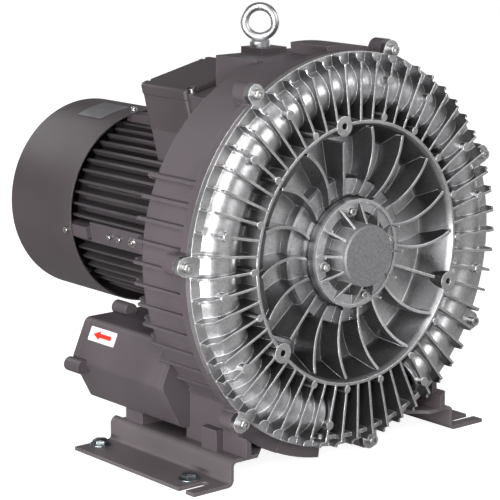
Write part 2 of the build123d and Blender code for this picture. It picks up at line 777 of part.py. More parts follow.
end_bolts = [(silencer_edge_x + 4, silencer_edge - 6), (silencer_inner_x - 5, silencer_edge - 3),
             (port_x, silencer_top + 6), (port_x - 12, silencer_bottom - 5)]
for side, hand in ((-1, "left"), (1, "right")):
    save(make_silencer(side), "silencer_" + hand)
    save(make_foam(side), "silencer_foam_" + hand)
    save(make_silencer_end(side), "silencer_end_" + hand)

end_screw_part = cap_screw(3, 20)
with BuildPart() as silencer_screws:
    with Locations(back_face(silencer_back_depth + silencer_end_thickness)):
        with Locations([(side * x, -z) for side in (-1, 1) for x, z in end_bolts]):
            add(end_screw_part)
save(silencer_screws.part, "silencer_screws")

# ---------------------------------------------------------------- foot bracket
foot_leg = foot_height - foot_sheet
foot_screw_places = [(side * x, rim_y + depth) for side in (-1, 1)
                     for x, depth in ((silencer_pad_x, silencer_pad_depth), (leg_pad_x, leg_pad_depth))]
with BuildPart() as foot_bracket:
    # pressed hat section
    with BuildSketch(Plane(origin=(0, rim_y + foot_front_depth, 0), x_dir=(1, 0, 0), z_dir=(0, -1, 0))):
        with BuildLine() as half_line:
            Polyline((0, foot_leg), (foot_web_x - foot_sheet, foot_leg), (foot_web_x - foot_sheet, 0),
                     (foot_edge_x, 0), (foot_edge_x, foot_sheet), (foot_web_x, foot_sheet),
                     (foot_web_x, foot_height),
                     (0, foot_height), close=True)
        make_face()
        mirror(about=Plane.YZ)
    extrude(amount=-(foot_back_depth - foot_front_depth))
    bends = foot_bracket.edges().filter_by(Axis.Y)
    inner = bends.filter_by(lambda e: abs(abs(e.center().X) - foot_web_x) < 0.1 and
                            e.center().Z < foot_height / 2)
    crown = bends.filter_by(lambda e: abs(abs(e.center().X) - foot_web_x) < 0.1 and
                            e.center().Z > foot_height / 2)
    under = bends.filter_by(lambda e: abs(abs(e.center().X) - foot_web_x + foot_sheet) < 0.1 and
                            e.center().Z > foot_height / 2)
    heel = bends.filter_by(lambda e: abs(abs(e.center().X) - foot_web_x + foot_sheet) < 0.1 and
                           e.center().Z < foot_height / 2)
    fillet(inner + under, foot_bend_radius - foot_sheet)
    fillet(crown + heel, foot_bend_radius)
    # the top plate is open in front for the housing and cut back at the rear corners
    with BuildSketch(Plane.XY.offset(foot_leg - 1)):
        with BuildLine():
            Polyline((0, rim_y - 5), (foot_web_x - 14, rim_y - 5), (foot_notch_x, rim_y + 50),
                     (foot_notch_x, rim_y + foot_notch_depth), (0, rim_y + foot_notch_depth), close=True)
        make_face()
        mirror(about=Plane.YZ)
        with Locations((0, rim_y + foot_back_depth)):
            Rectangle(2 * (foot_web_x - foot_bend_radius), 2 * (foot_back_depth - foot_plate_back))
    extrude(amount=foot_sheet + 2, mode=Mode.SUBTRACT)
    # foot holes and the open slots in front of them
    with BuildSketch(Plane.XY):
        with GridLocations(2 * foot_hole_x, 2 * foot_hole_y, 2, 2):
            Circle(foot_hole_radius)
        for side in (-1, 1):
            with Locations((side * (foot_slot_end_x + foot_slot_width / 2), rim_y + foot_slot_depth)):
                Circle(foot_slot_width / 2)
            with Locations((side * (foot_slot_end_x + foot_slot_width / 2 + 25), rim_y + foot_slot_depth)):
                Rectangle(50, foot_slot_width)
    extrude(amount=foot_sheet, mode=Mode.SUBTRACT)
    with BuildSketch(Plane.XY.offset(foot_leg)):
        with Locations(foot_screw_places):
            Circle(foot_bolt_radius)
    extrude(amount=foot_sheet, mode=Mode.SUBTRACT)
save(foot_bracket.part, "foot_bracket")

foot_screw_part = cap_screw(foot_bolt_radius, foot_sheet + 10)
with BuildPart() as foot_screws:
    below = Plane(origin=(0, 0, foot_leg), x_dir=(1, 0, 0), z_dir=(0, 0, -1))
    with Locations(below):
        with Locations([(x, -y) for x, y in foot_screw_places]):
            add(foot_screw_part)
save(foot_screws.part, "foot_screws")

# ---------------------------------------------------------------- motor
frame_length = frame_back_depth - neck_back_depth
with BuildPart() as frame_fin:
    with BuildSketch(Plane.XZ):
        with BuildLine():
            Polyline((frame_root_radius - 2, -frame_fin_front), (frame_fin_radius - 6, -frame_fin_front),
                     (frame_fin_radius, -frame_fin_front - 10), (frame_fin_radius, -frame_back_depth + 2),
                     (frame_root_radius - 2, -frame_back_depth + 2), close=True)
        make_face()
    extrude(amount=frame_fin_thickness / 2, both=True)

with BuildPart() as motor_frame:
    with BuildSketch(face(neck_back_depth)):
        Circle(frame_root_radius)
    extrude(amount=-frame_length)
    with Locations(face(0)):
        with PolarLocations(0, frame_fin_count, start_angle=0):
            add(frame_fin.part)
    # pads: terminal box neck, earth screws, cowl screws
    with BuildSketch(tilted(box_front_depth + 6)):
        with Locations((0, (box_bottom + frame_bore) / 2 + 2)):
            Rectangle(2 * box_half_width, box_bottom - frame_bore - 4)
    extrude(amount=-(box_back_depth - box_front_depth - 12))
    with BuildSketch(meridian(earth_pad_angle)):
        with Locations(((frame_root_radius + earth_pad_radius) / 2 - 1, sum(earth_pad_depths) / 2)):
            Rectangle(earth_pad_radius - frame_root_radius + 2, earth_pad_depths[1] - earth_pad_depths[0])
    extrude(amount=13, both=True)
    cowl_boss_top = sqrt((cowl_radius - cowl_sheet - seat_gap) ** 2 - 8 ** 2)
    for index in range(4):
        with BuildSketch(meridian(cowl_bolt_first_angle + 90 * index)):
            with Locations(((frame_root_radius + cowl_boss_top) / 2 - 1, cowl_bolt_depth - 16)):
                Rectangle(cowl_boss_top - frame_root_radius + 2, 46)
        extrude(amount=8, both=True)
    with BuildSketch(face(0)):
        Circle(frame_bore)
    extrude(amount=-frame_back_depth - 20, mode=Mode.SUBTRACT)
    with BuildSketch(box_plane(box_bottom)):
        with Locations((0, (box_front_depth + box_back_depth) / 2)):
            Circle(lead_hole_radius)
    extrude(amount=-(box_bottom - frame_bore + 8), mode=Mode.SUBTRACT)
    for index in range(4):
        with BuildSketch(outward(cowl_bolt_first_angle + 90 * index, cowl_bolt_depth, cowl_radius)):
            Circle(cowl_bolt_radius)
        extrude(amount=-14, mode=Mode.SUBTRACT)
    for depth in earth_screw_depths:
        with BuildSketch(outward(earth_pad_angle, depth, earth_pad_radius + 2)):
            Circle(earth_bolt_radius)
        extrude(amount=-14, mode=Mode.SUBTRACT)
    for depth, inward in ((neck_back_depth, -1), (frame_back_depth, 1)):
        with BuildSketch(face(depth)):
            with PolarLocations(wall_bolt_circle, 4, start_angle=wall_bolt_first_angle):
                Circle(wall_bolt_radius)
        extrude(amount=inward * 14, mode=Mode.SUBTRACT)
save(motor_frame.part, "motor_frame")

# ---------------------------------------------------------------- stator and rear end
with BuildPart() as stator_core:
    with BuildSketch(face(stator_front_depth)):
        Circle(frame_bore - seat_gap)
        Circle(rotor_radius + air_gap, mode=Mode.SUBTRACT)
    extrude(amount=-stator_length)
save(stator_core.part, "stator_core")

winding_inner = rotor_radius + 5
winding_outer = frame_bore - 7
with BuildPart() as stator_windings:
    for start in (stator_front_depth - winding_overhang, stator_front_depth + stator_length):
        with BuildSketch(meridian()) as winding:
            with Locations(((winding_inner + winding_outer) / 2, start + winding_overhang / 2)):
                RectangleRounded(winding_outer - winding_inner, winding_overhang, 5)
        revolve(axis=axis_line)
save(stator_windings.part, "stator_windings")

rear_bearing_back = rear_bearing_depth + bearing_width
shield_hub_radius = bearing_outer + 9
spring_thickness = 2.4
shield_shoulder = rear_bearing_back + spring_thickness + 0.4
with BuildPart() as rear_end_shield:
    with BuildSketch(meridian()):
        with BuildLine():
            Polyline((bearing_outer, rear_bearing_depth - 6), (shield_hub_radius, rear_bearing_depth - 6),
                     (shield_hub_radius, frame_back_depth), (frame_bore - seat_gap - 8, frame_back_depth),
                     (frame_bore - seat_gap - 8, frame_back_depth - 5),
                     (frame_bore - seat_gap, frame_back_depth - 5),
                     (frame_bore - seat_gap, frame_back_depth), (frame_root_radius, frame_back_depth),
                     (frame_root_radius, frame_back_depth + shield_thickness - 1),
                     (frame_root_radius - 1, frame_back_depth + shield_thickness),
                     (shield_hub_radius, frame_back_depth + shield_thickness),
                     (shield_hub_radius - 3, shield_shoulder + 6), (bearing_outer - 12, shield_shoulder + 6),
                     (bearing_outer - 12, shield_shoulder), (bearing_outer, shield_shoulder), close=True)
        make_face()
    revolve(axis=axis_line)
    with BuildSketch(face(frame_back_depth + shield_thickness)):
        with PolarLocations(wall_bolt_circle, 4, start_angle=wall_bolt_first_angle):
            Circle(wall_bolt_radius)
    extrude(amount=shield_thickness, mode=Mode.SUBTRACT)
save(rear_end_shield.part, "rear_end_shield")

shield_screw_part = cap_screw(wall_bolt_radius, shield_thickness + 12)
with BuildPart() as shield_screws:
    with Locations(back_face(frame_back_depth + shield_thickness)):
        with PolarLocations(wall_bolt_circle, 4, start_angle=-wall_bolt_first_angle):
            add(shield_screw_part)
save(shield_screws.part, "shield_screws")

with BuildPart() as wave_spring:
    with BuildSketch(face(rear_bearing_back + 0.2)):
        Circle(bearing_outer - 1)
        Circle(bearing_outer - 6, mode=Mode.SUBTRACT)
    extrude(amount=-spring_thickness)
save(wave_spring.part, "wave_spring")


# ---------------------------------------------------------------- bearings
def make_ring(depth, inner, outer):
    """One ring of a ball bearing, with the groove that the balls run in."""
    with BuildPart() as ring:
        with BuildSketch(meridian()):
            with Locations(((inner + outer) / 2, depth + bearing_width / 2)):
                Rectangle(outer - inner, bearing_width)
            with Locations((ball_circle, depth + bearing_width / 2)):
                Circle(ball_radius + ball_clearance, mode=Mode.SUBTRACT)
        revolve(axis=axis_line)
    return ring.part


def make_balls(depth):
    """The balls in their crown cage."""
    middle = depth + bearing_width / 2
    with BuildPart() as balls:
        with BuildSketch(face(middle - 4)):
            Circle(ball_circle + 2)
            Circle(ball_circle - 2, mode=Mode.SUBTRACT)
        extrude(amount=-12)
        with Locations(face(middle)):
            with PolarLocations(ball_circle, ball_count):
                Sphere(ball_radius + 0.1, mode=Mode.SUBTRACT)
            with PolarLocations(ball_circle, ball_count):
                Sphere(ball_radius)
    return balls.part


for bearing_depth, place in ((front_bearing_depth, "front"), (rear_bearing_depth, "rear")):
    save(make_ring(bearing_depth, ball_circle + ring_land, bearing_outer - seat_gap), place + "_bearing_outer")
    save(make_ring(bearing_depth, bearing_bore + seat_gap, ball_circle - ring_land), place + "_bearing_inner")
    save(make_balls(bearing_depth), place + "_bearing_balls")

# ---------------------------------------------------------------- shaft and what turns with it
front_bearing_back = front_bearing_depth + bearing_width
impeller_hub_front = bowl_back_depth + 1.5
fan_seat_depth = shield_shoulder + 2
fan_hub_back = fan_front_depth + fan_hub_length
with BuildPart() as shaft:
    with BuildSketch(meridian()):
        with BuildLine():
            Polyline((0, front_bearing_depth + 0.6), (bearing_bore - 1, front_bearing_depth + 0.6),
                     (bearing_bore, front_bearing_depth + 1.6), (bearing_bore, shoulder_depth),
                     (seal_journal_radius, shoulder_depth), (seal_journal_radius, stator_front_depth - 70),
                     (rotor_seat_radius, stator_front_depth - 70), (rotor_seat_radius, rotor_end),
                     (seal_journal_radius, rotor_end), (seal_journal_radius, rear_bearing_depth),
                     (bearing_bore, rear_bearing_depth), (bearing_bore, fan_seat_depth),
                     (shaft_end_radius, fan_seat_depth), (shaft_end_radius, fan_hub_back + 0.2),
                     (shaft_end_radius - 1.2, fan_hub_back + 0.2), (shaft_end_radius - 1.2, fan_hub_back + 1.7),
                     (shaft_end_radius, fan_hub_back + 1.7), (shaft_end_radius, fan_hub_back + 5),
                     (shaft_end_radius - 1, fan_hub_back + 6), (0, fan_hub_back + 6), close=True)
        make_face()
    revolve(axis=axis_line)
    with BuildSketch(face(front_bearing_depth)):
        Circle(shaft_bolt_radius)
    extrude(amount=-34, mode=Mode.SUBTRACT)
    with Locations(Plane(origin=(0, rim_y, shaft_height + bearing_bore - key_depth), z_dir=(0, 0, 1))):
        with Locations((0, impeller_key_front + impeller_key_length / 2)):
            Box(impeller_key_width, impeller_key_length, key_depth + 2,
                align=(Align.CENTER, Align.CENTER, Align.MIN), mode=Mode.SUBTRACT)
    with Locations(Plane(origin=(0, rim_y, shaft_height + shaft_end_radius - key_depth), z_dir=(0, 0, 1))):
        with Locations((0, fan_key_front + fan_key_length / 2)):
            Box(fan_key_width, fan_key_length, key_depth + 2,
                align=(Align.CENTER, Align.CENTER, Align.MIN), mode=Mode.SUBTRACT)
save(shaft.part, "shaft")


def make_key(seat_radius, width, front, length):
    """A parallel key, half in the shaft and half in the hub on it."""
    with BuildPart() as key:
        with BuildSketch(Plane.XY.offset(shaft_height + seat_radius - key_depth)):
            with Locations((0, rim_y + front + length / 2)):
                Rectangle(width - 2 * seat_gap, length - 2 * seat_gap)
        extrude(amount=2 * key_depth - 1)
    return key.part


save(make_key(bearing_bore, impeller_key_width, impeller_key_front, impeller_key_length), "impeller_key")
save(make_key(shaft_end_radius, fan_key_width, fan_key_front, fan_key_length), "fan_key")

with BuildPart() as shaft_washer:
    with BuildSketch(face(front_bearing_depth - shaft_washer_thickness)):
        Circle(bearing_bore + 4)
        Circle(shaft_bolt_radius, mode=Mode.SUBTRACT)
    extrude(amount=-shaft_washer_thickness)
save(shaft_washer.part, "shaft_washer")

shaft_bolt_part = cap_screw(shaft_bolt_radius, shaft_washer_thickness + 30)
with BuildPart() as shaft_bolt:
    with Locations(face(front_bearing_depth - shaft_washer_thickness)):
        add(shaft_bolt_part)
save(shaft_bolt.part, "shaft_bolt")

with BuildPart() as spacer_sleeve:
    with BuildSketch(face(front_bearing_back)):
        Circle(bearing_bore + 5.5)
        Circle(bearing_bore + seat_gap, mode=Mode.SUBTRACT)
    extrude(amount=-(impeller_hub_front - front_bearing_back))
save(spacer_sleeve.part, "spacer_sleeve")

with BuildPart() as shaft_seal:
    with BuildSketch(face(seal_depth)):
        Circle(seal_radius - seat_gap)
        Circle(seal_journal_radius + 0.3, mode=Mode.SUBTRACT)
    extrude(amount=-seal_width)
save(shaft_seal.part, "shaft_seal")

with BuildPart() as rotor_core:
    with BuildSketch(face(stator_front_depth)):
        Circle(rotor_radius)
        Circle(rotor_seat_radius + seat_gap, mode=Mode.SUBTRACT)
    extrude(amount=-stator_length)
    # cast end rings
    with BuildSketch(face(stator_front_depth - 12)):
        Circle(rotor_radius - 2)
        Circle(rotor_radius - 16, mode=Mode.SUBTRACT)
    extrude(amount=-(stator_length + 24))
save(rotor_core.part, "rotor_core")

# ---------------------------------------------------------------- impeller
blade_front = cover_plane_depth + running_gap
blade_back = housing_plane_depth - running_gap
with BuildPart() as blade:
    with BuildSketch(Plane.XZ):
        with BuildLine():
            Polyline((impeller_ring_radius - 2, -blade_front), (impeller_radius, -blade_front),
                     (impeller_radius, -blade_back), (impeller_ring_radius - 2, -blade_back), close=True)
        make_face()
    extrude(amount=impeller_blade_thickness / 2, both=True)

with BuildPart() as impeller:
    with BuildSketch(meridian()):
        with BuildLine():
            middle = (blade_front + blade_back) / 2
            Polyline((bearing_bore + seat_gap, impeller_hub_front), (impeller_hub_radius, impeller_hub_front),
                     (impeller_hub_radius + 4, middle - 3), (impeller_ring_radius - 8, middle - 3),
                     (impeller_ring_radius - 6, blade_front), (impeller_ring_radius, blade_front),
                     (channel_radius, middle - 1), (channel_radius, middle + 1),
                     (impeller_ring_radius, blade_back),
                     (impeller_ring_radius - 6, blade_back), (impeller_ring_radius - 8, middle + 3),
                     (impeller_hub_radius, middle + 5), (impeller_hub_radius, shoulder_depth),
                     (bearing_bore + seat_gap, shoulder_depth), close=True)
        make_face()
    revolve(axis=axis_line)
    with Locations(face(0)):
        with PolarLocations(0, impeller_blade_count):
            add(blade.part)
    with Locations(Plane(origin=(0, rim_y, shaft_height), z_dir=(0, 0, 1))):
        with Locations((0, (impeller_hub_front + shoulder_depth) / 2)):
            Box(impeller_key_width, shoulder_depth - impeller_hub_front + 2, bearing_bore + key_depth,
                align=(Align.CENTER, Align.CENTER, Align.MIN), mode=Mode.SUBTRACT)
save(impeller.part, "impeller")

# ---------------------------------------------------------------- cooling fan and cowl
with BuildPart() as fan_blade:
    with BuildSketch(Plane.XZ):
        with BuildLine():
            Polyline((fan_hub_radius - 2, -fan_front_depth), (fan_radius, -fan_front_depth),
                     (fan_radius, -fan_front_depth - fan_blade_length + 14),
                     (fan_radius - 14, -fan_front_depth - fan_blade_length),
                     (fan_hub_radius - 2, -fan_hub_back), close=True)
        make_face()
    extrude(amount=1.5, both=True)

with BuildPart() as cooling_fan:
    with BuildSketch(meridian()):
        with BuildLine():
            Polyline((shaft_end_radius + seat_gap, fan_front_depth), (fan_radius - 30, fan_front_depth),
                     (fan_radius - 30, fan_front_depth + 3), (fan_hub_radius, fan_front_depth + 6),
                     (fan_hub_radius, fan_hub_back), (shaft_end_radius + seat_gap, fan_hub_back), close=True)
        make_face()
    revolve(axis=axis_line)
    with Locations(face(0)):
        with PolarLocations(0, fan_blade_count, start_angle=10):
            add(fan_blade.part)
    with Locations(Plane(origin=(0, rim_y, shaft_height), z_dir=(0, 0, 1))):
        with Locations((0, (fan_front_depth + fan_hub_back) / 2)):
            Box(fan_key_width, fan_hub_length + 2, shaft_end_radius + key_depth,
                align=(Align.CENTER, Align.CENTER, Align.MIN), mode=Mode.SUBTRACT)
save(cooling_fan.part, "cooling_fan")

with BuildPart() as fan_circlip:
    with BuildSketch(face(fan_hub_back + 0.3)):
        Circle(shaft_end_radius + 4)
        Circle(shaft_end_radius - 1.1, mode=Mode.SUBTRACT)
        with Locations((0, -shaft_end_radius)):
            Rectangle(8, 2 * shaft_end_radius - 4, mode=Mode.SUBTRACT)
    extrude(amount=-1.3)
save(fan_circlip.part, "fan_circlip")

with BuildPart() as fan_cowl:
    with BuildSketch(meridian()):
        with BuildLine():
            Polyline((cowl_radius - cowl_sheet, cowl_front_depth), (cowl_radius, cowl_front_depth),
                     (cowl_radius, cowl_back_depth - cowl_shoulder))
            RadiusArc((cowl_radius, cowl_back_depth - cowl_shoulder),
                      (cowl_radius - cowl_shoulder, cowl_back_depth),
                      cowl_shoulder, short_sagitta=True)
            Polyline((cowl_radius - cowl_shoulder, cowl_back_depth), (0, cowl_back_depth),
                     (0, cowl_back_depth - cowl_sheet),
                     (cowl_radius - cowl_shoulder, cowl_back_depth - cowl_sheet))
            RadiusArc((cowl_radius - cowl_shoulder, cowl_back_depth - cowl_sheet),
                      (cowl_radius - cowl_sheet, cowl_back_depth - cowl_shoulder), cowl_sheet - cowl_shoulder,
                      short_sagitta=True)
            Line((cowl_radius - cowl_sheet, cowl_back_depth - cowl_shoulder),
                 (cowl_radius - cowl_sheet, cowl_front_depth))
        make_face()
    revolve(axis=axis_line)
    # air inlet slots
    with BuildSketch(face(cowl_back_depth)):
        with PolarLocations((grille_inner + grille_outer) / 2, grille_count):
            Rectangle(grille_outer - grille_inner, grille_slot)
    extrude(amount=cowl_sheet, mode=Mode.SUBTRACT)
    for index in range(4):
        with BuildSketch(outward(cowl_bolt_first_angle + 90 * index, cowl_bolt_depth, cowl_radius + 1)):
            Circle(cowl_bolt_radius)
        extrude(amount=-cowl_sheet - 3, mode=Mode.SUBTRACT)
save(fan_cowl.part, "fan_cowl")

cowl_screw_part = cap_screw(cowl_bolt_radius, 11)
with BuildPart() as cowl_screws:
    for index in range(4):
        with Locations(outward(cowl_bolt_first_angle + 90 * index, cowl_bolt_depth, cowl_radius + 0.05)):
            add(cowl_screw_part)
save(cowl_screws.part, "cowl_screws")

# ---------------------------------------------------------------- terminal box
box_middle = (box_front_depth + box_back_depth) / 2
box_depth = box_back_depth - box_front_depth
with BuildPart() as terminal_box:
    with BuildSketch(box_plane(box_bottom)):
        with Locations((0, box_middle)):
            RectangleRounded(2 * box_half_width, box_depth, 6)
    extrude(amount=box_top - box_bottom)
    with BuildSketch(box_plane(box_bottom)):
        for u in (-lid_bolt_u, lid_bolt_u):
            for depth in (box_front_depth, box_back_depth):
                with Locations((u, depth)):
                    Circle(lid_ear_radius)
    extrude(amount=box_top - box_bottom)
    with BuildSketch(box_plane(box_bottom + box_wall)):
        with Locations((0, box_middle)):
            RectangleRounded(2 * (box_half_width - box_wall), box_depth - 2 * box_wall, 4)
        for u in (-lid_bolt_u, lid_bolt_u):
            for depth in (box_front_depth, box_back_depth):
                with Locations((u, depth)):
                    Circle(lid_ear_radius, mode=Mode.SUBTRACT)
    extrude(amount=box_top - box_bottom - box_wall, mode=Mode.SUBTRACT)
    with BuildSketch(box_plane(box_bottom)):
        with Locations((0, box_middle)):
            Circle(lead_hole_radius)
    extrude(amount=box_wall, mode=Mode.SUBTRACT)
    with BuildSketch(box_plane(box_top)):
        for u in (-lid_bolt_u, lid_bolt_u):
            for depth in (box_front_depth, box_back_depth):
                with Locations((u, depth)):
                    Circle(lid_bolt_radius)
    extrude(amount=-14, mode=Mode.SUBTRACT)
    with BuildSketch(box_side(box_half_width)):
        with Locations((box_middle, (box_bottom + box_top) / 2)):
            Circle(gland_radius)
    extrude(amount=-2 * box_wall, mode=Mode.SUBTRACT)
save(terminal_box.part, "terminal_box")

with BuildPart() as lid_gasket:
    with BuildSketch(box_plane(box_top)):
        with Locations((0, box_middle)):
            RectangleRounded(2 * box_half_width, box_depth, 6)
            RectangleRounded(2 * (box_half_width - box_wall), box_depth - 2 * box_wall, 4, mode=Mode.SUBTRACT)
        for u in (-lid_bolt_u, lid_bolt_u):
            for depth in (box_front_depth, box_back_depth):
                with Locations((u, depth)):
                    Circle(lid_ear_radius)
                    Circle(lid_bolt_radius, mode=Mode.SUBTRACT)
    extrude(amount=gasket_thickness)
save(lid_gasket.part, "lid_gasket")

lid_floor = box_top + gasket_thickness
with BuildPart() as terminal_lid:
    with BuildSketch(box_plane(lid_floor)):
        with Locations((0, box_middle)):
            RectangleRounded(2 * box_half_width + 2, box_depth + 2, 7)
    extrude(amount=lid_height)
    lid_up = box_plane(0).z_dir
    chamfer(terminal_lid.faces().filter_by(lambda f: f.normal_at().dot(lid_up) > 0.99).edges(), 2)
    with BuildSketch(box_plane(lid_floor)):
        for u in (-lid_bolt_u, lid_bolt_u):
            for depth in (box_front_depth, box_back_depth):
                with Locations((u, depth)):
                    Circle(lid_ear_radius)
    extrude(amount=lid_height - 6)
    with BuildSketch(box_plane(lid_floor)):
        with Locations((0, box_middle)):
            RectangleRounded(2 * (box_half_width - box_wall), box_depth - 2 * box_wall, 4)
        for u in (-lid_bolt_u, lid_bolt_u):
            for depth in (box_front_depth, box_back_depth):
                with Locations((u, depth)):
                    Circle(lid_ear_radius, mode=Mode.SUBTRACT)
    extrude(amount=lid_height - 4, mode=Mode.SUBTRACT)
    with BuildSketch(box_plane(lid_floor)):
        for u in (-lid_bolt_u, lid_bolt_u):
            for depth in (box_front_depth, box_back_depth):
                with Locations((u, depth)):
                    Circle(lid_bolt_radius)
    extrude(amount=lid_height, mode=Mode.SUBTRACT)
    # the screw heads sit in the edge of the lid
    with BuildSketch(box_plane(lid_floor + lid_height - 6)):
        for u in (-lid_bolt_u, lid_bolt_u):
            for depth in (box_front_depth, box_back_depth):
                with Locations((u, depth)):
                    Circle(lid_ear_radius)
    extrude(amount=6, mode=Mode.SUBTRACT)
save(terminal_lid.part, "terminal_lid")

lid_screw_part = cap_screw(lid_bolt_radius, lid_height - 6 + gasket_thickness + 12)
with BuildPart() as lid_screws:
    with Locations(box_plane(lid_floor + lid_height - 6)):
        with Locations([(u, depth) for u in (-lid_bolt_u, lid_bolt_u)
                        for depth in (box_front_depth, box_back_depth)]):
            add(lid_screw_part)
save(lid_screws.part, "lid_screws")

with BuildPart() as terminal_block:
    with BuildSketch(box_plane(box_bottom + box_wall)):
        with Locations((-20, box_middle)):
            Rectangle(32, 62)
    extrude(amount=10)
    with BuildSketch(box_plane(box_bottom + box_wall + 10)):
        with Locations((-20, box_middle)):
            with GridLocations(0, 20, 1, 4):
                Rectangle(32, 2)
    extrude(amount=8)
save(terminal_block.part, "terminal_block")

with BuildPart() as terminal_studs:
    with BuildSketch(box_plane(box_bottom + box_wall + 10)):
        with Locations((-20, box_middle)):
            with GridLocations(16, 20, 2, 3):
                RegularPolygon(4.5, 6)
    extrude(amount=4)
    with BuildSketch(box_plane(box_bottom + box_wall + 14)):
        with Locations((-20, box_middle)):
            with GridLocations(16, 20, 2, 3):
                Circle(2.5)
    extrude(amount=8)
save(terminal_studs.part, "terminal_studs")

with BuildPart() as cable_gland:
    with BuildSketch(box_side(box_half_width)):
        with Locations((box_middle, (box_bottom + box_top) / 2)):
            RegularPolygon(gland_radius + 4.5, 6)
    extrude(amount=7)
    with BuildSketch(box_side(box_half_width + 7)):
        with Locations((box_middle, (box_bottom + box_top) / 2)):
            Circle(gland_radius + 2)
    extrude(amount=12, taper=8)
    with BuildSketch(box_side(box_half_width)):
        with Locations((box_middle, (box_bottom + box_top) / 2)):
            Circle(gland_radius - seat_gap)
    extrude(amount=-box_wall - 3)
    with BuildSketch(box_side(box_half_width + 19)):
        with Locations((box_middle, (box_bottom + box_top) / 2)):
            Circle(cable_radius)
    extrude(amount=-19 - box_wall - 3, mode=Mode.SUBTRACT)
save(cable_gland.part, "cable_gland")

# ---------------------------------------------------------------- small pieces on the motor
with BuildPart() as rating_plate:
    with BuildSketch(face(plate_front_depth)):
        with BuildLine():
            CenterArc((0, 0), cowl_radius + 0.05, 94, 21)
            Line(at_angle(cowl_radius + 0.05, 115), at_angle(cowl_radius + 0.85, 115))
            CenterArc((0, 0), cowl_radius + 0.85, 94, 21)
            Line(at_angle(cowl_radius + 0.05, 94), at_angle(cowl_radius + 0.85, 94))
        make_face()
    extrude(amount=-plate_length)
save(rating_plate.part, "rating_plate")

earth_screw_part = cap_screw(earth_bolt_radius, 10)
with BuildPart() as earth_screws:
    for depth in earth_screw_depths:
        with Locations(outward(earth_pad_angle, depth, earth_pad_radius)):
            add(earth_screw_part)
save(earth_screws.part, "earth_screws")

# ---------------------------------------------------------------- lifting eye
eye_base = shaft_height + console_top + eye_pad_height
with BuildPart() as lifting_eye:
    with BuildSketch(Plane.XY.offset(eye_base)):
        with Locations((0, rim_y + console_back_depth - eye_collar_radius)):
            Circle(eye_collar_radius)
    extrude(amount=eye_collar_height)
    chamfer(lifting_eye.edges().group_by(Axis.Z)[-1], 2)
    with BuildSketch(Plane.XY.offset(eye_base)):
        with Locations((0, rim_y + console_back_depth - eye_collar_radius)):
            Circle(eye_bolt_radius - seat_gap)
    extrude(amount=-eye_shank)
    turn = radians(eye_turn)
    ring_origin = (0, rim_y + console_back_depth - eye_collar_radius, eye_base + eye_centre_height)
    ring_plane = Plane(origin=ring_origin, x_dir=(cos(turn), -sin(turn), 0), z_dir=(-sin(turn), -cos(turn), 0))
    with Locations(ring_plane):
        Torus(eye_ring_radius, eye_wire_radius)
save(lifting_eye.part, "lifting_eye")
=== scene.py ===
import json
import math

import bmesh
import bpy
from mathutils import Matrix, Vector


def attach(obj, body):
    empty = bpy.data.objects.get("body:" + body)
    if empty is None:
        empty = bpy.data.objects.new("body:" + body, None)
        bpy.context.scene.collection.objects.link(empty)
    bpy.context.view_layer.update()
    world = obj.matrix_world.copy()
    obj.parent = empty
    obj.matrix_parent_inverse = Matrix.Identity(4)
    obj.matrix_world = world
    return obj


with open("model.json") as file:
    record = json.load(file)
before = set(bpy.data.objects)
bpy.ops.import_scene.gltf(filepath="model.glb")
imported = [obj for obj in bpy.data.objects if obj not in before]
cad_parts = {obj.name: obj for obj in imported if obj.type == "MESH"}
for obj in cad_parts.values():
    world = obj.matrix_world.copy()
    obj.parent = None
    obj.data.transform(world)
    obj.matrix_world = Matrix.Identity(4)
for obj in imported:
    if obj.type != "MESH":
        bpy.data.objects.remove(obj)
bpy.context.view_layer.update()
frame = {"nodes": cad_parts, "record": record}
nodes = frame["nodes"]
mm = 0.001
perMetre = 1000.0
shaftHeight = 0.258
rimY = -0.156
print("frame loaded:", len(nodes), "nodes")


def newGroup(name, inputs, outputs):
    group = bpy.data.node_groups.new(name, "ShaderNodeTree")
    for label, value in inputs:
        socket = group.interface.new_socket(label, in_out="INPUT", socket_type="NodeSocketFloat")
        socket.default_value = value
    for label in outputs:
        group.interface.new_socket(label, in_out="OUTPUT", socket_type="NodeSocketFloat")
    return group, group.nodes.new("NodeGroupInput"), group.nodes.new("NodeGroupOutput")


def put(tree, kind, **settings):
    node = tree.nodes.new(kind)
    for key, value in settings.items():
        setattr(node, key, value)
    return node


def calc(tree, operation, first, second=None):
    node = put(tree, "ShaderNodeMath", operation=operation)
    for socket, value in zip(node.inputs, (first, second)):
        if value is None:
            continue
        if isinstance(value, (int, float)):
            socket.default_value = value
        else:
            tree.links.new(value, socket)
    return node.outputs[0]


def ramp(tree, value, low, high, toLow=0.0, toHigh=1.0):
    node = put(tree, "ShaderNodeMapRange", interpolation_type="SMOOTHSTEP")
    tree.links.new(value, node.inputs["Value"])
    for label, number in (("From Min", low), ("From Max", high), ("To Min", toLow), ("To Max", toHigh)):
        node.inputs[label].default_value = number
    return node.outputs[0]


# where a colour mix node keeps its factor, its two colours and its result
mixInputs = (0, 6, 7)
mixResult = 2


def mixColour(tree, factor, first, second, blend="MIX"):
    node = put(tree, "ShaderNodeMix", data_type="RGBA", blend_type=blend)
    for index, value in zip(mixInputs, (factor, first, second)):
        if isinstance(value, (int, float)):
            node.inputs[index].default_value = value
        elif isinstance(value, tuple):
            node.inputs[index].default_value = value + (1.0,)
        else:
            tree.links.new(value, node.inputs[index])
    return node.outputs[mixResult]


def noise(tree, vector, scale, detail=3.0, roughness=0.55):
    node = put(tree, "ShaderNodeTexNoise")
    tree.links.new(scale, node.inputs["Scale"])
    node.inputs["Detail"].default_value = detail
    node.inputs["Roughness"].default_value = roughness
    tree.links.new(vector, node.inputs["Vector"])
    return node.outputs["Fac"]


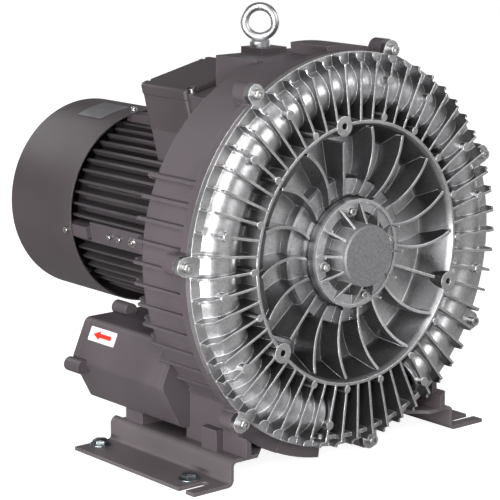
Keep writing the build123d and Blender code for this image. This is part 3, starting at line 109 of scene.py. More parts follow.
def buildShaftSpace():
    # where a point lies round the shaft, in millimetres, and how far its face turns sideways or to the front
    group, _, out = newGroup("shaftSpace", [], ["Radius", "Depth", "Sideways", "Facing"])
    coordinates = put(group, "ShaderNodeTexCoord")
    split = put(group, "ShaderNodeSeparateXYZ")
    group.links.new(coordinates.outputs["Object"], split.inputs[0])
    up = calc(group, "SUBTRACT", split.outputs["Z"], shaftHeight)
    squared = calc(group, "ADD", calc(group, "MULTIPLY", split.outputs["X"], split.outputs["X"]),
                   calc(group, "MULTIPLY", up, up))
    radius = calc(group, "MULTIPLY", calc(group, "SQRT", squared), perMetre)
    depth = calc(group, "MULTIPLY", calc(group, "SUBTRACT", split.outputs["Y"], rimY), perMetre)
    group.links.new(radius, out.inputs["Radius"])
    group.links.new(depth, out.inputs["Depth"])
    normal = put(group, "ShaderNodeSeparateXYZ")
    group.links.new(put(group, "ShaderNodeNewGeometry").outputs["Normal"], normal.inputs[0])
    cross = calc(group, "SUBTRACT", calc(group, "MULTIPLY", normal.outputs["X"], up),
                 calc(group, "MULTIPLY", normal.outputs["Z"], split.outputs["X"]))
    sideways = calc(group, "DIVIDE", calc(group, "MULTIPLY", cross, perMetre), radius)
    group.links.new(calc(group, "ABSOLUTE", sideways), out.inputs["Sideways"])
    group.links.new(calc(group, "MULTIPLY", normal.outputs["Y"], -1.0), out.inputs["Facing"])
    return group


grainMix = {"fineDetail": 4.0, "fineRough": 0.6, "fineShare": 0.65, "coarser": 0.22, "coarseDetail": 2.0,
            "coarseShare": 0.35}


def buildGrain():
    # small grains on larger ones as a height, and wide soft blotches
    group, given, out = newGroup("castGrain", [("Scale", 900.0), ("Blotch Scale", 18.0)],
                                 ["Height", "Blotch"])
    coordinates = put(group, "ShaderNodeTexCoord").outputs["Object"]
    fine = noise(group, coordinates, given.outputs["Scale"], grainMix["fineDetail"], grainMix["fineRough"])
    coarseScale = calc(group, "MULTIPLY", given.outputs["Scale"], grainMix["coarser"])
    coarse = noise(group, coordinates, coarseScale, grainMix["coarseDetail"])
    group.links.new(calc(group, "ADD", calc(group, "MULTIPLY", fine, grainMix["fineShare"]),
                         calc(group, "MULTIPLY", coarse, grainMix["coarseShare"])), out.inputs["Height"])
    group.links.new(noise(group, coordinates, given.outputs["Blotch Scale"]), out.inputs["Blotch"])
    return group


bevelSamples = 6
wearAndHighlightTurn = (0.985, 0.80)
wearAndHighlightPatches = (0.30, 0.55, 0.55, 1.0)


def buildEdgeWearAndHighlight():
    # how far the rounded normal leaves the true one: 1 on edges, 0 on flat faces; it marks edge wear and a
    # painted highlight on the edges
    group, given, out = newGroup("edgeWearAndHighlight", [("Radius", 0.0008), ("Breakup", 120.0)], ["Edge"])
    geometry = put(group, "ShaderNodeNewGeometry")
    bevel = put(group, "ShaderNodeBevel", samples=bevelSamples)
    group.links.new(given.outputs["Radius"], bevel.inputs["Radius"])
    dot = put(group, "ShaderNodeVectorMath", operation="DOT_PRODUCT")
    group.links.new(geometry.outputs["True Normal"], dot.inputs[0])
    group.links.new(bevel.outputs["Normal"], dot.inputs[1])
    lift = ramp(group, dot.outputs["Value"], *wearAndHighlightTurn)
    coordinates = put(group, "ShaderNodeTexCoord").outputs["Object"]
    patches = ramp(group, noise(group, coordinates, given.outputs["Breakup"]), *wearAndHighlightPatches)
    group.links.new(calc(group, "MULTIPLY", lift, patches), out.inputs["Edge"])
    return group


shaftSpace = buildShaftSpace()
castGrain = buildGrain()
edgeWearAndHighlight = buildEdgeWearAndHighlight()


def useGroup(tree, group, **values):
    node = put(tree, "ShaderNodeGroup", node_tree=group)
    for label, value in values.items():
        node.inputs[label.replace("_", " ")].default_value = value
    return node


def startMaterial(name, roughness, metallic, specular=0.5):
    material = bpy.data.materials.new(name)
    material.use_nodes = True
    tree = material.node_tree
    shader = tree.nodes["Principled BSDF"]
    shader.inputs["Roughness"].default_value = roughness
    shader.inputs["Metallic"].default_value = metallic
    shader.inputs["Specular IOR Level"].default_value = specular
    return material, tree, shader


def addBump(tree, shader, height, strength, distance, rounding=None):
    bump = put(tree, "ShaderNodeBump")
    bump.inputs["Strength"].default_value = strength
    bump.inputs["Distance"].default_value = distance
    tree.links.new(height, bump.inputs["Height"])
    if rounding:
        bevel = put(tree, "ShaderNodeBevel", samples=bevelSamples)
        bevel.inputs["Radius"].default_value = rounding
        tree.links.new(bevel.outputs["Normal"], bump.inputs["Normal"])
    tree.links.new(bump.outputs["Normal"], shader.inputs["Normal"])


# edge: the lighter tone of each paint's edges, partly wear, partly a painted highlight
paintLook = {
    "housingPaint": {"base": (0.073, 0.060, 0.067), "edge": (0.20, 0.175, 0.185), "rough": 0.50,
                     "grain": 1100.0, "bump": 0.10},
    "cowlPaint": {"base": (0.056, 0.045, 0.048), "edge": (0.20, 0.17, 0.18), "rough": 0.42,
                  "grain": 1400.0, "bump": 0.05},
    "footPaint": {"base": (0.098, 0.084, 0.089), "edge": (0.22, 0.19, 0.20), "rough": 0.48,
                  "grain": 1000.0, "bump": 0.08},
    "motorPaint": {"base": (0.050, 0.044, 0.048), "edge": (0.15, 0.135, 0.145), "rough": 0.50,
                   "grain": 1000.0, "bump": 0.10, "pads": (0.073, 0.060, 0.067), "padsFrom": 117.3},
}
paintCoat = {"blotches": 9.0, "toneRange": (0.3, 0.7), "dark": 0.88, "light": 1.12, "edgeRadius": 0.0009,
             "edgePatches": 60.0, "edgeShare": 0.75, "padsBlend": 0.6, "roughRange": (0.2, 0.8),
             "smoother": 0.06, "rougher": 0.08, "bumpDepth": 0.0006, "rounding": 0.0007}


def paint(name):
    look = paintLook[name]
    material, tree, shader = startMaterial(name, look["rough"], 0.0)
    grain = useGroup(tree, castGrain, Scale=look["grain"], Blotch_Scale=paintCoat["blotches"])
    edge = useGroup(tree, edgeWearAndHighlight, Radius=paintCoat["edgeRadius"], Breakup=paintCoat["edgePatches"])
    tone = mixColour(tree, ramp(tree, grain.outputs["Blotch"], *paintCoat["toneRange"]),
                     tuple(c * paintCoat["dark"] for c in look["base"]),
                     tuple(c * paintCoat["light"] for c in look["base"]))
    if "pads" in look:  # what stands out past the fins
        radius = useGroup(tree, shaftSpace).outputs["Radius"]
        padsMask = ramp(tree, radius, look["padsFrom"], look["padsFrom"] + paintCoat["padsBlend"])
        tone = mixColour(tree, padsMask, tone, look["pads"])
    # lighter edges: partly wear, partly a painted highlight on the edges
    wornAndHighlit = mixColour(tree, calc(tree, "MULTIPLY", edge.outputs["Edge"], paintCoat["edgeShare"]), tone,
                     look["edge"])
    tree.links.new(wornAndHighlit, shader.inputs["Base Color"])
    rough = ramp(tree, grain.outputs["Blotch"], *paintCoat["roughRange"],
                 look["rough"] - paintCoat["smoother"], look["rough"] + paintCoat["rougher"])
    tree.links.new(rough, shader.inputs["Roughness"])
    addBump(tree, shader, grain.outputs["Height"], look["bump"], paintCoat["bumpDepth"],
            paintCoat["rounding"])
    return material


castLook = {
    "light": (0.52, 0.515, 0.525),
    "valleyShade": (0.27, 0.267, 0.273),
    "bowl": (0.58, 0.575, 0.585),
    "wall": (0.16, 0.158, 0.163),
    "shelf": (0.46, 0.455, 0.465),
    "slopeShade": (0.13, 0.128, 0.133),
    "side": (0.15, 0.148, 0.153),
    "edge": (0.93, 0.93, 0.94),
}
# where each tone of the cover starts and where it is full, in millimetres from the shaft or behind the rim;
# the painted shade on the slope and on the flanks is told by how far their faces turn
coverZones = {
    "outside": (156.0, 160.0),
    "valleyDepth": (7.0, 24.0),
    "valleyRadius": (206.0, 182.0),
    "bowlDepth": (10.0, 30.0),
    "wallRadius": (136.0, 140.0),
    "wallDepth": (2.0, 8.0),
    "slopeFromFlat": (0.92, 0.82),
    "slopeFromSteep": (0.4, 0.5),
    "shelfRadius": (92.5, 91.5),
    "finFlank": (0.75, 0.97),
    "vaneFlank": (0.35, 0.10),
    "vaneRadius": (157.0, 156.0),
    "shelfEdge": (97.0, 92.0, 1.0, 0.35),
}
coverSkin = {"grain": 1150.0, "blotches": 26.0, "edgeRadius": 0.0011, "edgePatches": 90.0,
             "blotchDark": (0.80, 0.80, 0.80), "blotchLight": (1.12, 1.12, 1.12), "specks": (0.38, 0.62),
             "speckDark": (0.82, 0.82, 0.82), "speckLight": (1.14, 1.14, 1.14),
             "metallic": (0.2, 0.9, 0.92, 0.40), "rough": (0.25, 0.75, 0.26, 0.37),
             "bump": 0.24, "bumpDepth": 0.0008, "rounding": 0.0013}


def castCover():
    material, tree, shader = startMaterial("castCover", 0.34, 0.9)
    place = useGroup(tree, shaftSpace)
    grain = useGroup(tree, castGrain, Scale=coverSkin["grain"], Blotch_Scale=coverSkin["blotches"])
    edge = useGroup(tree, edgeWearAndHighlight, Radius=coverSkin["edgeRadius"], Breakup=coverSkin["edgePatches"])
    radius, depth, facing = place.outputs["Radius"], place.outputs["Depth"], place.outputs["Facing"]
    outside = ramp(tree, radius, *coverZones["outside"])
    # painted shade: the torus darker deep in its valley, most towards the inner side
    valleyShade = calc(tree, "MULTIPLY", ramp(tree, depth, *coverZones["valleyDepth"]),
                  ramp(tree, radius, *coverZones["valleyRadius"]))
    torus = mixColour(tree, valleyShade, castLook["light"], castLook["valleyShade"])
    # painted light: the bowl's floor lighter the deeper it lies, standing in for light on it
    bowl = mixColour(tree, ramp(tree, depth, *coverZones["bowlDepth"]), castLook["light"], castLook["bowl"])
    # painted shade on the bowl's inner wall just behind the rim
    wall = calc(tree, "MULTIPLY", ramp(tree, radius, *coverZones["wallRadius"]),
                ramp(tree, depth, *coverZones["wallDepth"]))
    bowl = mixColour(tree, wall, bowl, castLook["wall"])
    # painted shade on the sloping faces round the shelf, neither flat to the front nor steep
    slopeShade = calc(tree, "MULTIPLY", ramp(tree, facing, *coverZones["slopeFromFlat"]),
                 ramp(tree, facing, *coverZones["slopeFromSteep"]))
    shelf = mixColour(tree, slopeShade, castLook["shelf"], castLook["slopeShade"])
    bowl = mixColour(tree, ramp(tree, radius, *coverZones["shelfRadius"]), bowl, shelf)
    base = mixColour(tree, outside, bowl, torus)
    # painted shade on the flanks of the fins and of the vanes
    finSides = ramp(tree, place.outputs["Sideways"], *coverZones["finFlank"])
    vaneSides = calc(tree, "MULTIPLY", ramp(tree, facing, *coverZones["vaneFlank"]),
                     ramp(tree, radius, *coverZones["vaneRadius"]))
    base = mixColour(tree, calc(tree, "MAXIMUM", finSides, vaneSides), base, castLook["side"])
    blotches = mixColour(tree, grain.outputs["Blotch"], coverSkin["blotchDark"], coverSkin["blotchLight"])
    tone = mixColour(tree, 1.0, base, blotches, "MULTIPLY")
    specks = mixColour(tree, ramp(tree, grain.outputs["Height"], *coverSkin["specks"]),
                       coverSkin["speckDark"], coverSkin["speckLight"])
    tone = mixColour(tree, 1.0, tone, specks, "MULTIPLY")
    # bright, less metallic edges: partly polished wear, partly a painted highlight; less of it on the
    # shelf's edges
    wornAndHighlit = calc(tree, "MULTIPLY", edge.outputs["Edge"], ramp(tree, radius, *coverZones["shelfEdge"]))
    tree.links.new(mixColour(tree, wornAndHighlit, tone, castLook["edge"]), shader.inputs["Base Color"])
    tree.links.new(ramp(tree, wornAndHighlit, *coverSkin["metallic"]), shader.inputs["Metallic"])
    tree.links.new(ramp(tree, grain.outputs["Blotch"], *coverSkin["rough"]), shader.inputs["Roughness"])
    addBump(tree, shader, grain.outputs["Height"], coverSkin["bump"], coverSkin["bumpDepth"],
            coverSkin["rounding"])
    return material


capLook = {
    "discDark": (0.19, 0.19, 0.195),
    "discLight": (0.30, 0.30, 0.31),
    "ringDark": (0.40, 0.395, 0.405),
    "ringLight": (0.54, 0.54, 0.55),
    "pocketShade": (0.20, 0.198, 0.203),
    "side": (0.17, 0.168, 0.173),
    "edge": (0.95, 0.95, 0.96),
    "grain": 1500.0, "blotches": 30.0, "edgeRadius": 0.0009, "edgePatches": 90.0, "specks": (0.40, 0.62),
    "pocketDepth": (8.5, 12.0), "ribFlank": (0.75, 0.97), "discRadius": (37.2, 38.2),
    "metallic": (0.2, 0.9, 0.85, 0.30), "roughRadius": (37.0, 39.0, 0.62, 0.40),
    "bump": 0.28, "bumpDepth": 0.0007, "rounding": 0.0007,
}


def castCap():
    material, tree, shader = startMaterial("castCap", 0.42, 0.85)
    place = useGroup(tree, shaftSpace)
    grain = useGroup(tree, castGrain, Scale=capLook["grain"], Blotch_Scale=capLook["blotches"])
    edge = useGroup(tree, edgeWearAndHighlight, Radius=capLook["edgeRadius"], Breakup=capLook["edgePatches"])
    radius, wornAndHighlit = place.outputs["Radius"], edge.outputs["Edge"]
    speckle = ramp(tree, grain.outputs["Height"], *capLook["specks"])
    discTone = mixColour(tree, speckle, capLook["discDark"], capLook["discLight"])
    ringTone = mixColour(tree, speckle, capLook["ringDark"], capLook["ringLight"])
    # painted shade: the deeper pockets between the ribs darker
    pocketShade = ramp(tree, place.outputs["Depth"], *capLook["pocketDepth"])
    ringTone = mixColour(tree, pocketShade, ringTone, capLook["pocketShade"])
    # painted shade on the flanks of the ribs
    ribSides = ramp(tree, place.outputs["Sideways"], *capLook["ribFlank"])
    ringTone = mixColour(tree, ribSides, ringTone, capLook["side"])
    base = mixColour(tree, ramp(tree, radius, *capLook["discRadius"]), discTone, ringTone)
    # bright, less metallic edges: partly wear, partly a painted highlight
    tree.links.new(mixColour(tree, wornAndHighlit, base, capLook["edge"]), shader.inputs["Base Color"])
    tree.links.new(ramp(tree, wornAndHighlit, *capLook["metallic"]), shader.inputs["Metallic"])
    tree.links.new(ramp(tree, radius, *capLook["roughRadius"]), shader.inputs["Roughness"])
    addBump(tree, shader, grain.outputs["Height"], capLook["bump"], capLook["bumpDepth"],
            capLook["rounding"])
    return material


metalLook = {
    "zincSteel": {"low": (0.42, 0.42, 0.41), "high": (0.66, 0.66, 0.65), "rough": 0.28, "scale": 500.0},
    "darkZinc": {"low": (0.09, 0.105, 0.115), "high": (0.26, 0.28, 0.29), "rough": 0.34, "scale": 600.0},
    "eyeSteel": {"low": (0.40, 0.40, 0.41), "high": (0.58, 0.58, 0.59), "rough": 0.36, "scale": 420.0},
    "brightSteel": {"low": (0.50, 0.50, 0.51), "high": (0.68, 0.68, 0.69), "rough": 0.24, "scale": 800.0},
    "castImpeller": {"low": (0.42, 0.42, 0.43), "high": (0.60, 0.60, 0.61), "rough": 0.42, "scale": 900.0},
    "coreSteel": {"low": (0.16, 0.16, 0.17), "high": (0.26, 0.26, 0.27), "rough": 0.45, "scale": 700.0},
    "copperWinding": {"low": (0.36, 0.15, 0.06), "high": (0.58, 0.27, 0.12), "rough": 0.35, "scale": 900.0},
    "brassStuds": {"low": (0.50, 0.34, 0.12), "high": (0.72, 0.52, 0.22), "rough": 0.30, "scale": 700.0},
    "plateMetal": {"low": (0.30, 0.295, 0.32), "high": (0.42, 0.415, 0.44), "rough": 0.38, "scale": 600.0},
}
metalSkin = {"blotches": 70.0, "roughRange": (0.2, 0.8), "smoother": 0.05, "rougher": 0.1, "bump": 0.08,
             "bumpDepth": 0.0004, "rounding": 0.0004}


def metal(name):
    look = metalLook[name]
    material, tree, shader = startMaterial(name, look["rough"], 1.0)
    grain = useGroup(tree, castGrain, Scale=look["scale"], Blotch_Scale=metalSkin["blotches"])
    tone = mixColour(tree, grain.outputs["Blotch"], look["low"], look["high"])
    tree.links.new(tone, shader.inputs["Base Color"])
    rough = ramp(tree, grain.outputs["Blotch"], *metalSkin["roughRange"],
                 look["rough"] - metalSkin["smoother"], look["rough"] + metalSkin["rougher"])
    tree.links.new(rough, shader.inputs["Roughness"])
    addBump(tree, shader, grain.outputs["Height"], metalSkin["bump"], metalSkin["bumpDepth"],
            metalSkin["rounding"])
    return material


softLook = {
    "blackPlastic": {"low": (0.012, 0.012, 0.013), "high": (0.024, 0.024, 0.025), "rough": 0.45,
                     "bump": 0.10},
    "brownPlastic": {"low": (0.06, 0.024, 0.012), "high": (0.09, 0.04, 0.02), "rough": 0.40, "bump": 0.08},
    "blackRubber": {"low": (0.010, 0.010, 0.010), "high": (0.022, 0.022, 0.022), "rough": 0.70,
                    "bump": 0.15},
    "foam": {"low": (0.012, 0.012, 0.013), "high": (0.040, 0.040, 0.042), "rough": 0.95, "bump": 0.9},
    "stickerWhite": {"low": (0.72, 0.70, 0.71), "high": (0.80, 0.79, 0.80), "rough": 0.35, "bump": 0.02},
    "stickerRed": {"low": (0.62, 0.020, 0.010), "high": (0.74, 0.035, 0.018), "rough": 0.35, "bump": 0.02},
}
softSkin = {"grain": 900.0, "blotches": 40.0, "bumpDepth": 0.0008}


def plastic(name):
    look = softLook[name]
    material, tree, shader = startMaterial(name, look["rough"], 0.0)
    grain = useGroup(tree, castGrain, Scale=softSkin["grain"], Blotch_Scale=softSkin["blotches"])
    tone = mixColour(tree, grain.outputs["Blotch"], look["low"], look["high"])
    tree.links.new(tone, shader.inputs["Base Color"])
    addBump(tree, shader, grain.outputs["Height"], look["bump"], softSkin["bumpDepth"])
    return material


finishes = {name: paint(name) for name in paintLook}
finishes.update({name: metal(name) for name in metalLook})
finishes.update({name: plastic(name) for name in softLook})
finishes["castCover"] = castCover()
finishes["castCap"] = castCap()
print("finishes made:", len(finishes))

# each material slot of the record and the finish it wears
slotFinish = {
    "housing_paint": "housingPaint",
    "motor_paint": "motorPaint",
    "cowl_paint": "cowlPaint",
    "foot_paint": "footPaint",
    "cast_cover": "castCover",
    "cast_cap": "castCap",
    "cast_impeller": "castImpeller",
    "zinc_steel": "zincSteel",
    "eye_steel": "eyeSteel",
    "bright_steel": "brightSteel",
    "core_steel": "coreSteel",
    "copper_winding": "copperWinding",
    "brass_studs": "brassStuds",
    "plate_metal": "plateMetal",
    "black_plastic": "blackPlastic",
    "brown_plastic": "brownPlastic",
    "black_rubber": "blackRubber",
    "foam": "foam",
}
nodeSlots = {row["node"]: row["material_slot"] for row in frame["record"]["subparts"]}
smoothAngle = math.radians(28)
weldDistance = 0.00001
joinDistance = 1e-7
sameHeight = 1e-6
for name, node in nodes.items():
    node.data.materials.clear()
    node.data.materials.append(finishes[slotFinish[nodeSlots[name]]])
    for polygon in node.data.polygons:
        polygon.use_smooth = True
    weld = node.modifiers.new("weld", "WELD")
    weld.merge_threshold = weldDistance
    split = node.modifiers.new("split", "EDGE_SPLIT")
    split.split_angle = smoothAngle
print("CAD pieces dressed:", len(nodes))


def finishPiece(name, mesh, material, body):
    bmesh.ops.remove_doubles(mesh, verts=mesh.verts, dist=joinDistance)
    bmesh.ops.recalc_face_normals(mesh, faces=mesh.faces)
    data = bpy.data.meshes.new(name)
    mesh.to_mesh(data)
    mesh.free()
    data.materials.append(finishes[material])
    for polygon in data.polygons:
        polygon.use_smooth = True
    piece = bpy.data.objects.new(name, data)
    bpy.context.scene.collection.objects.link(piece)
    split = piece.modifiers.new("split", "EDGE_SPLIT")
    split.split_angle = smoothAngle
    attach(piece, body)


def disc(mesh, radius, low, high, segments, bevelWidth, place):
    # a round or many-sided disc between two heights, its upper rim bevelled, then put in place
    middle = (high + low) / 2
    made = bmesh.ops.create_cone(mesh, cap_ends=True, segments=segments, radius1=radius, radius2=radius,
                                 depth=high - low)
    verts = made["verts"]
    bmesh.ops.translate(mesh, vec=(0, 0, middle), verts=verts)
    if bevelWidth:
        rim = [e for e in mesh.edges if all(v in verts for v in e.verts)
               and abs(e.verts[0].co.z - e.verts[1].co.z) < sameHeight and e.verts[0].co.z > middle]
        grown = bmesh.ops.bevel(mesh, geom=rim, offset=bevelWidth, affect="EDGES", segments=2, profile=0.5,
                                material=-1)
        verts = list({v for v in verts if v.is_valid} | set(grown["verts"]))
    bmesh.ops.transform(mesh, matrix=place, verts=verts)


footBolt = {"x": 208 * mm, "y": 89 * mm, "sheet": 4.5 * mm, "washer": 13.5 * mm, "washerHigh": 1.6 * mm,
            "washerBevel": 0.4 * mm, "head": 10.2 * mm, "headHigh": 5.0 * mm, "headBevel": 0.9 * mm,
            "crown": 0.62, "crownFoot": 0.2 * mm, "crownHigh": 0.5 * mm, "crownBevel": 0.3 * mm,
            "shank": 5.9 * mm, "shankEnd": 0.4 * mm, "turnFront": 12, "turnBack": 52,
            "washerSides": 40, "headSides": 6, "roundSides": 24}


def makeFootBolts():
    bolts, washers = bmesh.new(), bmesh.new()
    seat = footBolt["sheet"]
    headBase = seat + footBolt["washerHigh"]
    headTop = headBase + footBolt["headHigh"]
    for x in (-footBolt["x"], footBolt["x"]):
        for y, turn in ((-footBolt["y"], footBolt["turnFront"]), (footBolt["y"], footBolt["turnBack"])):
            at = Matrix.Translation((x, y, 0))
            turned = at @ Matrix.Rotation(math.radians(turn), 4, "Z")
            disc(washers, footBolt["washer"], seat, headBase, footBolt["washerSides"],
                 footBolt["washerBevel"], at)
            disc(bolts, footBolt["shank"], footBolt["shankEnd"], headBase, footBolt["roundSides"], 0, at)
            disc(bolts, footBolt["head"], headBase, headTop, footBolt["headSides"], footBolt["headBevel"],
                 turned)
            disc(bolts, footBolt["head"] * footBolt["crown"], headTop - footBolt["crownFoot"],
                 headTop + footBolt["crownHigh"], footBolt["roundSides"], footBolt["crownBevel"], at)
    finishPiece("foot_bolts", bolts, "darkZinc", "housing")
    finishPiece("foot_washers", washers, "darkZinc", "housing")


makeFootBolts()

sticker = {"depth": 260 * mm, "height": -121 * mm, "x": -192.0 * mm, "slopeRun": 22, "slopeRise": 50,
           "lift": 0.1 * mm, "long": 54 * mm, "wide": 18 * mm, "thick": 0.25 * mm, "corner": 1.5 * mm,
           "arrowLong": 36 * mm, "arrowWide": 12 * mm, "arrowThick": 0.1 * mm, "arrowLift": 0.18 * mm,
           "shaftShare": 0.66, "shaftWide": 0.46, "shaftAt": -0.17, "headShare": 0.38, "headAt": 0.27}


def makeSticker():
    slopeShade = Vector((sticker["slopeRun"], 0, sticker["slopeRise"])).normalized()
    along = Vector((0, 1, 0))
    outward = Vector((-sticker["slopeRise"], 0, sticker["slopeRun"])).normalized()
    centre = Vector((sticker["x"], rimY + sticker["depth"], shaftHeight + sticker["height"]))
    turn = Matrix((along, slopeShade, outward)).transposed().to_4x4()
    place = Matrix.Translation(centre + outward * sticker["lift"]) @ turn
    label, arrow = bmesh.new(), bmesh.new()
    sheetVerts = bmesh.ops.create_cube(label, size=1.0)["verts"]
    bmesh.ops.scale(label, vec=(sticker["long"], sticker["wide"], sticker["thick"]), verts=sheetVerts)
    corners = [e for e in label.edges if abs(e.verts[0].co.z - e.verts[1].co.z) > sameHeight]
    bmesh.ops.bevel(label, geom=corners, offset=sticker["corner"], affect="EDGES", segments=3, profile=0.5,
                    material=-1)
    bmesh.ops.transform(label, matrix=place, verts=label.verts)
    shaft = bmesh.ops.create_cube(arrow, size=1.0)["verts"]
    long, wide, thick = sticker["arrowLong"], sticker["arrowWide"], sticker["arrowThick"]
    shaftSize = (long * sticker["shaftShare"], wide * sticker["shaftWide"], thick)
    bmesh.ops.scale(arrow, vec=shaftSize, verts=shaft)
    bmesh.ops.translate(arrow, vec=(long * sticker["shaftAt"], 0, sticker["arrowLift"]), verts=shaft)
    # an equal-sided triangle: its side is 1.73 times the radius round it, its height 0.866 of its side
    around = wide / 1.73
    head = bmesh.ops.create_cone(arrow, cap_ends=True, segments=3, radius1=around, radius2=around,
                                 depth=thick)["verts"]
    bmesh.ops.rotate(arrow, cent=(0, 0, 0), matrix=Matrix.Rotation(math.radians(-90), 3, "Z"), verts=head)
    bmesh.ops.scale(arrow, vec=(long * sticker["headShare"] / (wide * 0.866), 1, 1), verts=head)
    bmesh.ops.translate(arrow, vec=(long * sticker["headAt"], 0, sticker["arrowLift"]), verts=head)
    bmesh.ops.transform(arrow, matrix=place, verts=arrow.verts)
    finishPiece("flow_sticker", label, "stickerWhite", "housing")
    finishPiece("flow_arrow", arrow, "stickerRed", "housing")


makeSticker()

fanDisc = {"front": 465.2 * mm, "thick": 2.0 * mm, "outer": 108 * mm, "inner": 20 * mm, "stepAt": 80 * mm,
           "dish": 3 * mm, "steps": 96}


def spinRing(mesh, verts, centre, axis, steps):
    # closes a section and turns it right round an axis
    edges = [mesh.edges.new((verts[i], verts[(i + 1) % len(verts)])) for i in range(len(verts))]
    bmesh.ops.spin(mesh, geom=verts + edges, cent=centre, axis=axis, angle=2 * math.pi, steps=steps,
                   use_merge=True)


def makeFanDisc():
    # the plate between the fan's blades, turned from its own section
    mesh = bmesh.new()
    inner, stepAt, outer, dish = fanDisc["inner"], fanDisc["stepAt"], fanDisc["outer"], fanDisc["dish"]
    front, back = fanDisc["front"], fanDisc["front"] + fanDisc["thick"]
    section = [(inner, front), (stepAt, front), (outer, front + dish), (outer, back + dish), (stepAt, back),
               (inner, back)]
    verts = [mesh.verts.new((radius, rimY + depth, shaftHeight)) for radius, depth in section]
    spinRing(mesh, verts, (0, 0, shaftHeight), (0, 1, 0), fanDisc["steps"])
    finishPiece("fan_disc", mesh, "blackPlastic", "rotor")


makeFanDisc()

earthWasher = {"angle": 188.0, "depth": 294 * mm, "seat": 120 * mm, "outer": 7.0 * mm, "hole": 2.7 * mm,
               "thick": 1.2 * mm, "lift": 0.1 * mm, "bevel": 0.3 * mm, "steps": 40}


def makeEarthWasher():
    mesh = bmesh.new()
    angle = math.radians(earthWasher["angle"])
    outward = Vector((math.cos(angle), 0, math.sin(angle)))
    along = Vector((0, 1, 0))
    turn = Matrix((along, outward.cross(along), outward)).transposed().to_4x4()
    centre = Vector((0, rimY + earthWasher["depth"], shaftHeight)) + outward * earthWasher["seat"]
    low, high = earthWasher["lift"], earthWasher["lift"] + earthWasher["thick"]
    hole, outer, bevel = earthWasher["hole"], earthWasher["outer"], earthWasher["bevel"]
    section = [(hole, low), (outer, low), (outer, high - bevel), (outer - bevel, high), (hole, high)]
    verts = [mesh.verts.new((radius, 0, height)) for radius, height in section]
    spinRing(mesh, verts, (0, 0, 0), (0, 0, 1), earthWasher["steps"])
    bmesh.ops.transform(mesh, matrix=Matrix.Translation(centre) @ turn, verts=mesh.verts)
    finishPiece("earth_washer", mesh, "zincSteel", "housing")


makeEarthWasher()

sumpWeb = {"inner": 228 * mm, "outer": 256.5 * mm, "front": 33 * mm, "back": 58 * mm, "from": 229.0,
           "arc": 17.5, "steps": 12}


def makeSumpWeb():
    # closes the corner between the left leg and the sump, turned from a rectangle round the shaft
    mesh = bmesh.new()
    angle = math.radians(sumpWeb["from"])
    section = [(sumpWeb["inner"], sumpWeb["front"]), (sumpWeb["outer"], sumpWeb["front"]),
               (sumpWeb["outer"], sumpWeb["back"]), (sumpWeb["inner"], sumpWeb["back"])]
    across, up = math.cos(angle), math.sin(angle)
    verts = [mesh.verts.new((radius * across, rimY + depth, shaftHeight + radius * up))
             for radius, depth in section]
    start = mesh.faces.new(verts)
    bmesh.ops.spin(mesh, geom=[start], cent=(0, 0, shaftHeight), axis=(0, -1, 0),
                   angle=math.radians(sumpWeb["arc"]), steps=sumpWeb["steps"])
    finishPiece("sump_web", mesh, "housingPaint", "housing")


makeSumpWeb()
print("new pieces made")

studio = {"floor": 40.0, "floorTone": (0.42, 0.42, 0.42, 1.0), "floorGlow": 0.90,
          "world": (0.20, 0.20, 0.20), "target": (0, 0.0, 0.26)}
lamps = {
    "key": {"place": (-2.3, -2.1, 2.3), "size": (1.5, 3.4), "power": 124.0},
    "fill": {"place": (1.2, -3.1, 1.3), "size": (2.4, 1.5), "power": 48.0},
    "back": {"place": (0.1, 3.6, 1.3), "size": (1.8, 1.2), "power": 42.0},
    "side": {"place": (3.5, 0.7, 0.8), "size": (1.6, 1.2), "power": 26.0},
    "low": {"place": (-1.7, -0.6, 0.06), "size": (1.4, 0.1), "power": 34.0},
}


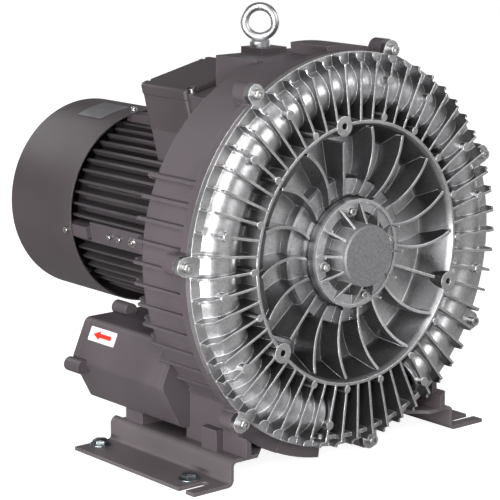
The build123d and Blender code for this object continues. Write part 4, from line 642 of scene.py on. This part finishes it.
def makeFloor():
    mesh = bmesh.new()
    bmesh.ops.create_grid(mesh, x_segments=1, y_segments=1, size=studio["floor"] / 2)
    data = bpy.data.meshes.new("floor")
    mesh.to_mesh(data)
    mesh.free()
    floor = bpy.data.objects.new("floor", data)
    bpy.context.scene.collection.objects.link(floor)
    material, tree, shader = startMaterial("floorPale", 0.9, 0.0, 0.1)
    shader.inputs["Base Color"].default_value = studio["floorTone"]
    shader.inputs["Emission Color"].default_value = (1.0, 1.0, 1.0, 1.0)
    cameraRay = put(tree, "ShaderNodeLightPath").outputs["Is Camera Ray"]
    glow = calc(tree, "MULTIPLY", cameraRay, studio["floorGlow"])
    tree.links.new(glow, shader.inputs["Emission Strength"])
    data.materials.append(material)


def makeWorld():
    # white to the camera and grey to every other ray
    world = bpy.data.worlds.new("studio")
    bpy.context.scene.world = world
    world.use_nodes = True
    tree = world.node_tree
    cameraRay = put(tree, "ShaderNodeLightPath").outputs["Is Camera Ray"]
    background = tree.nodes["Background"]
    tree.links.new(mixColour(tree, cameraRay, studio["world"], (1.0, 1.0, 1.0)), background.inputs["Color"])
    background.inputs["Strength"].default_value = 1.0


def makeLamps():
    target = Vector(studio["target"])
    for name, look in lamps.items():
        lamp = bpy.data.lights.new(name, "AREA")
        lamp.shape = "RECTANGLE"
        lamp.size, lamp.size_y = look["size"]
        lamp.energy = look["power"]
        light = bpy.data.objects.new(name, lamp)
        light.location = look["place"]
        light.rotation_euler = (target - Vector(look["place"])).to_track_quat("-Z", "Y").to_euler()
        bpy.context.scene.collection.objects.link(light)


view = {"place": (-1.6376, -1.9155, 0.7633), "azimuth": -39.82, "down": 11.78, "lens": 148.1,
        "sensor": 36.0, "near": 0.05}


def makeCamera():
    camera = bpy.data.cameras.new("view")
    camera.lens = view["lens"]
    camera.sensor_width = view["sensor"]
    camera.clip_start = view["near"]
    cameraObject = bpy.data.objects.new("view", camera)
    cameraObject.location = view["place"]
    cameraObject.rotation_euler = (math.radians(90 - view["down"]), 0, math.radians(view["azimuth"]))
    bpy.context.scene.collection.objects.link(cameraObject)
    bpy.context.scene.camera = cameraObject
    bpy.context.scene.view_settings.view_transform = "Standard"
    bpy.context.scene.view_settings.look = "None"


makeFloor()
makeWorld()
makeLamps()
makeCamera()
print("camera and light set")

bpy.context.view_layer.update()
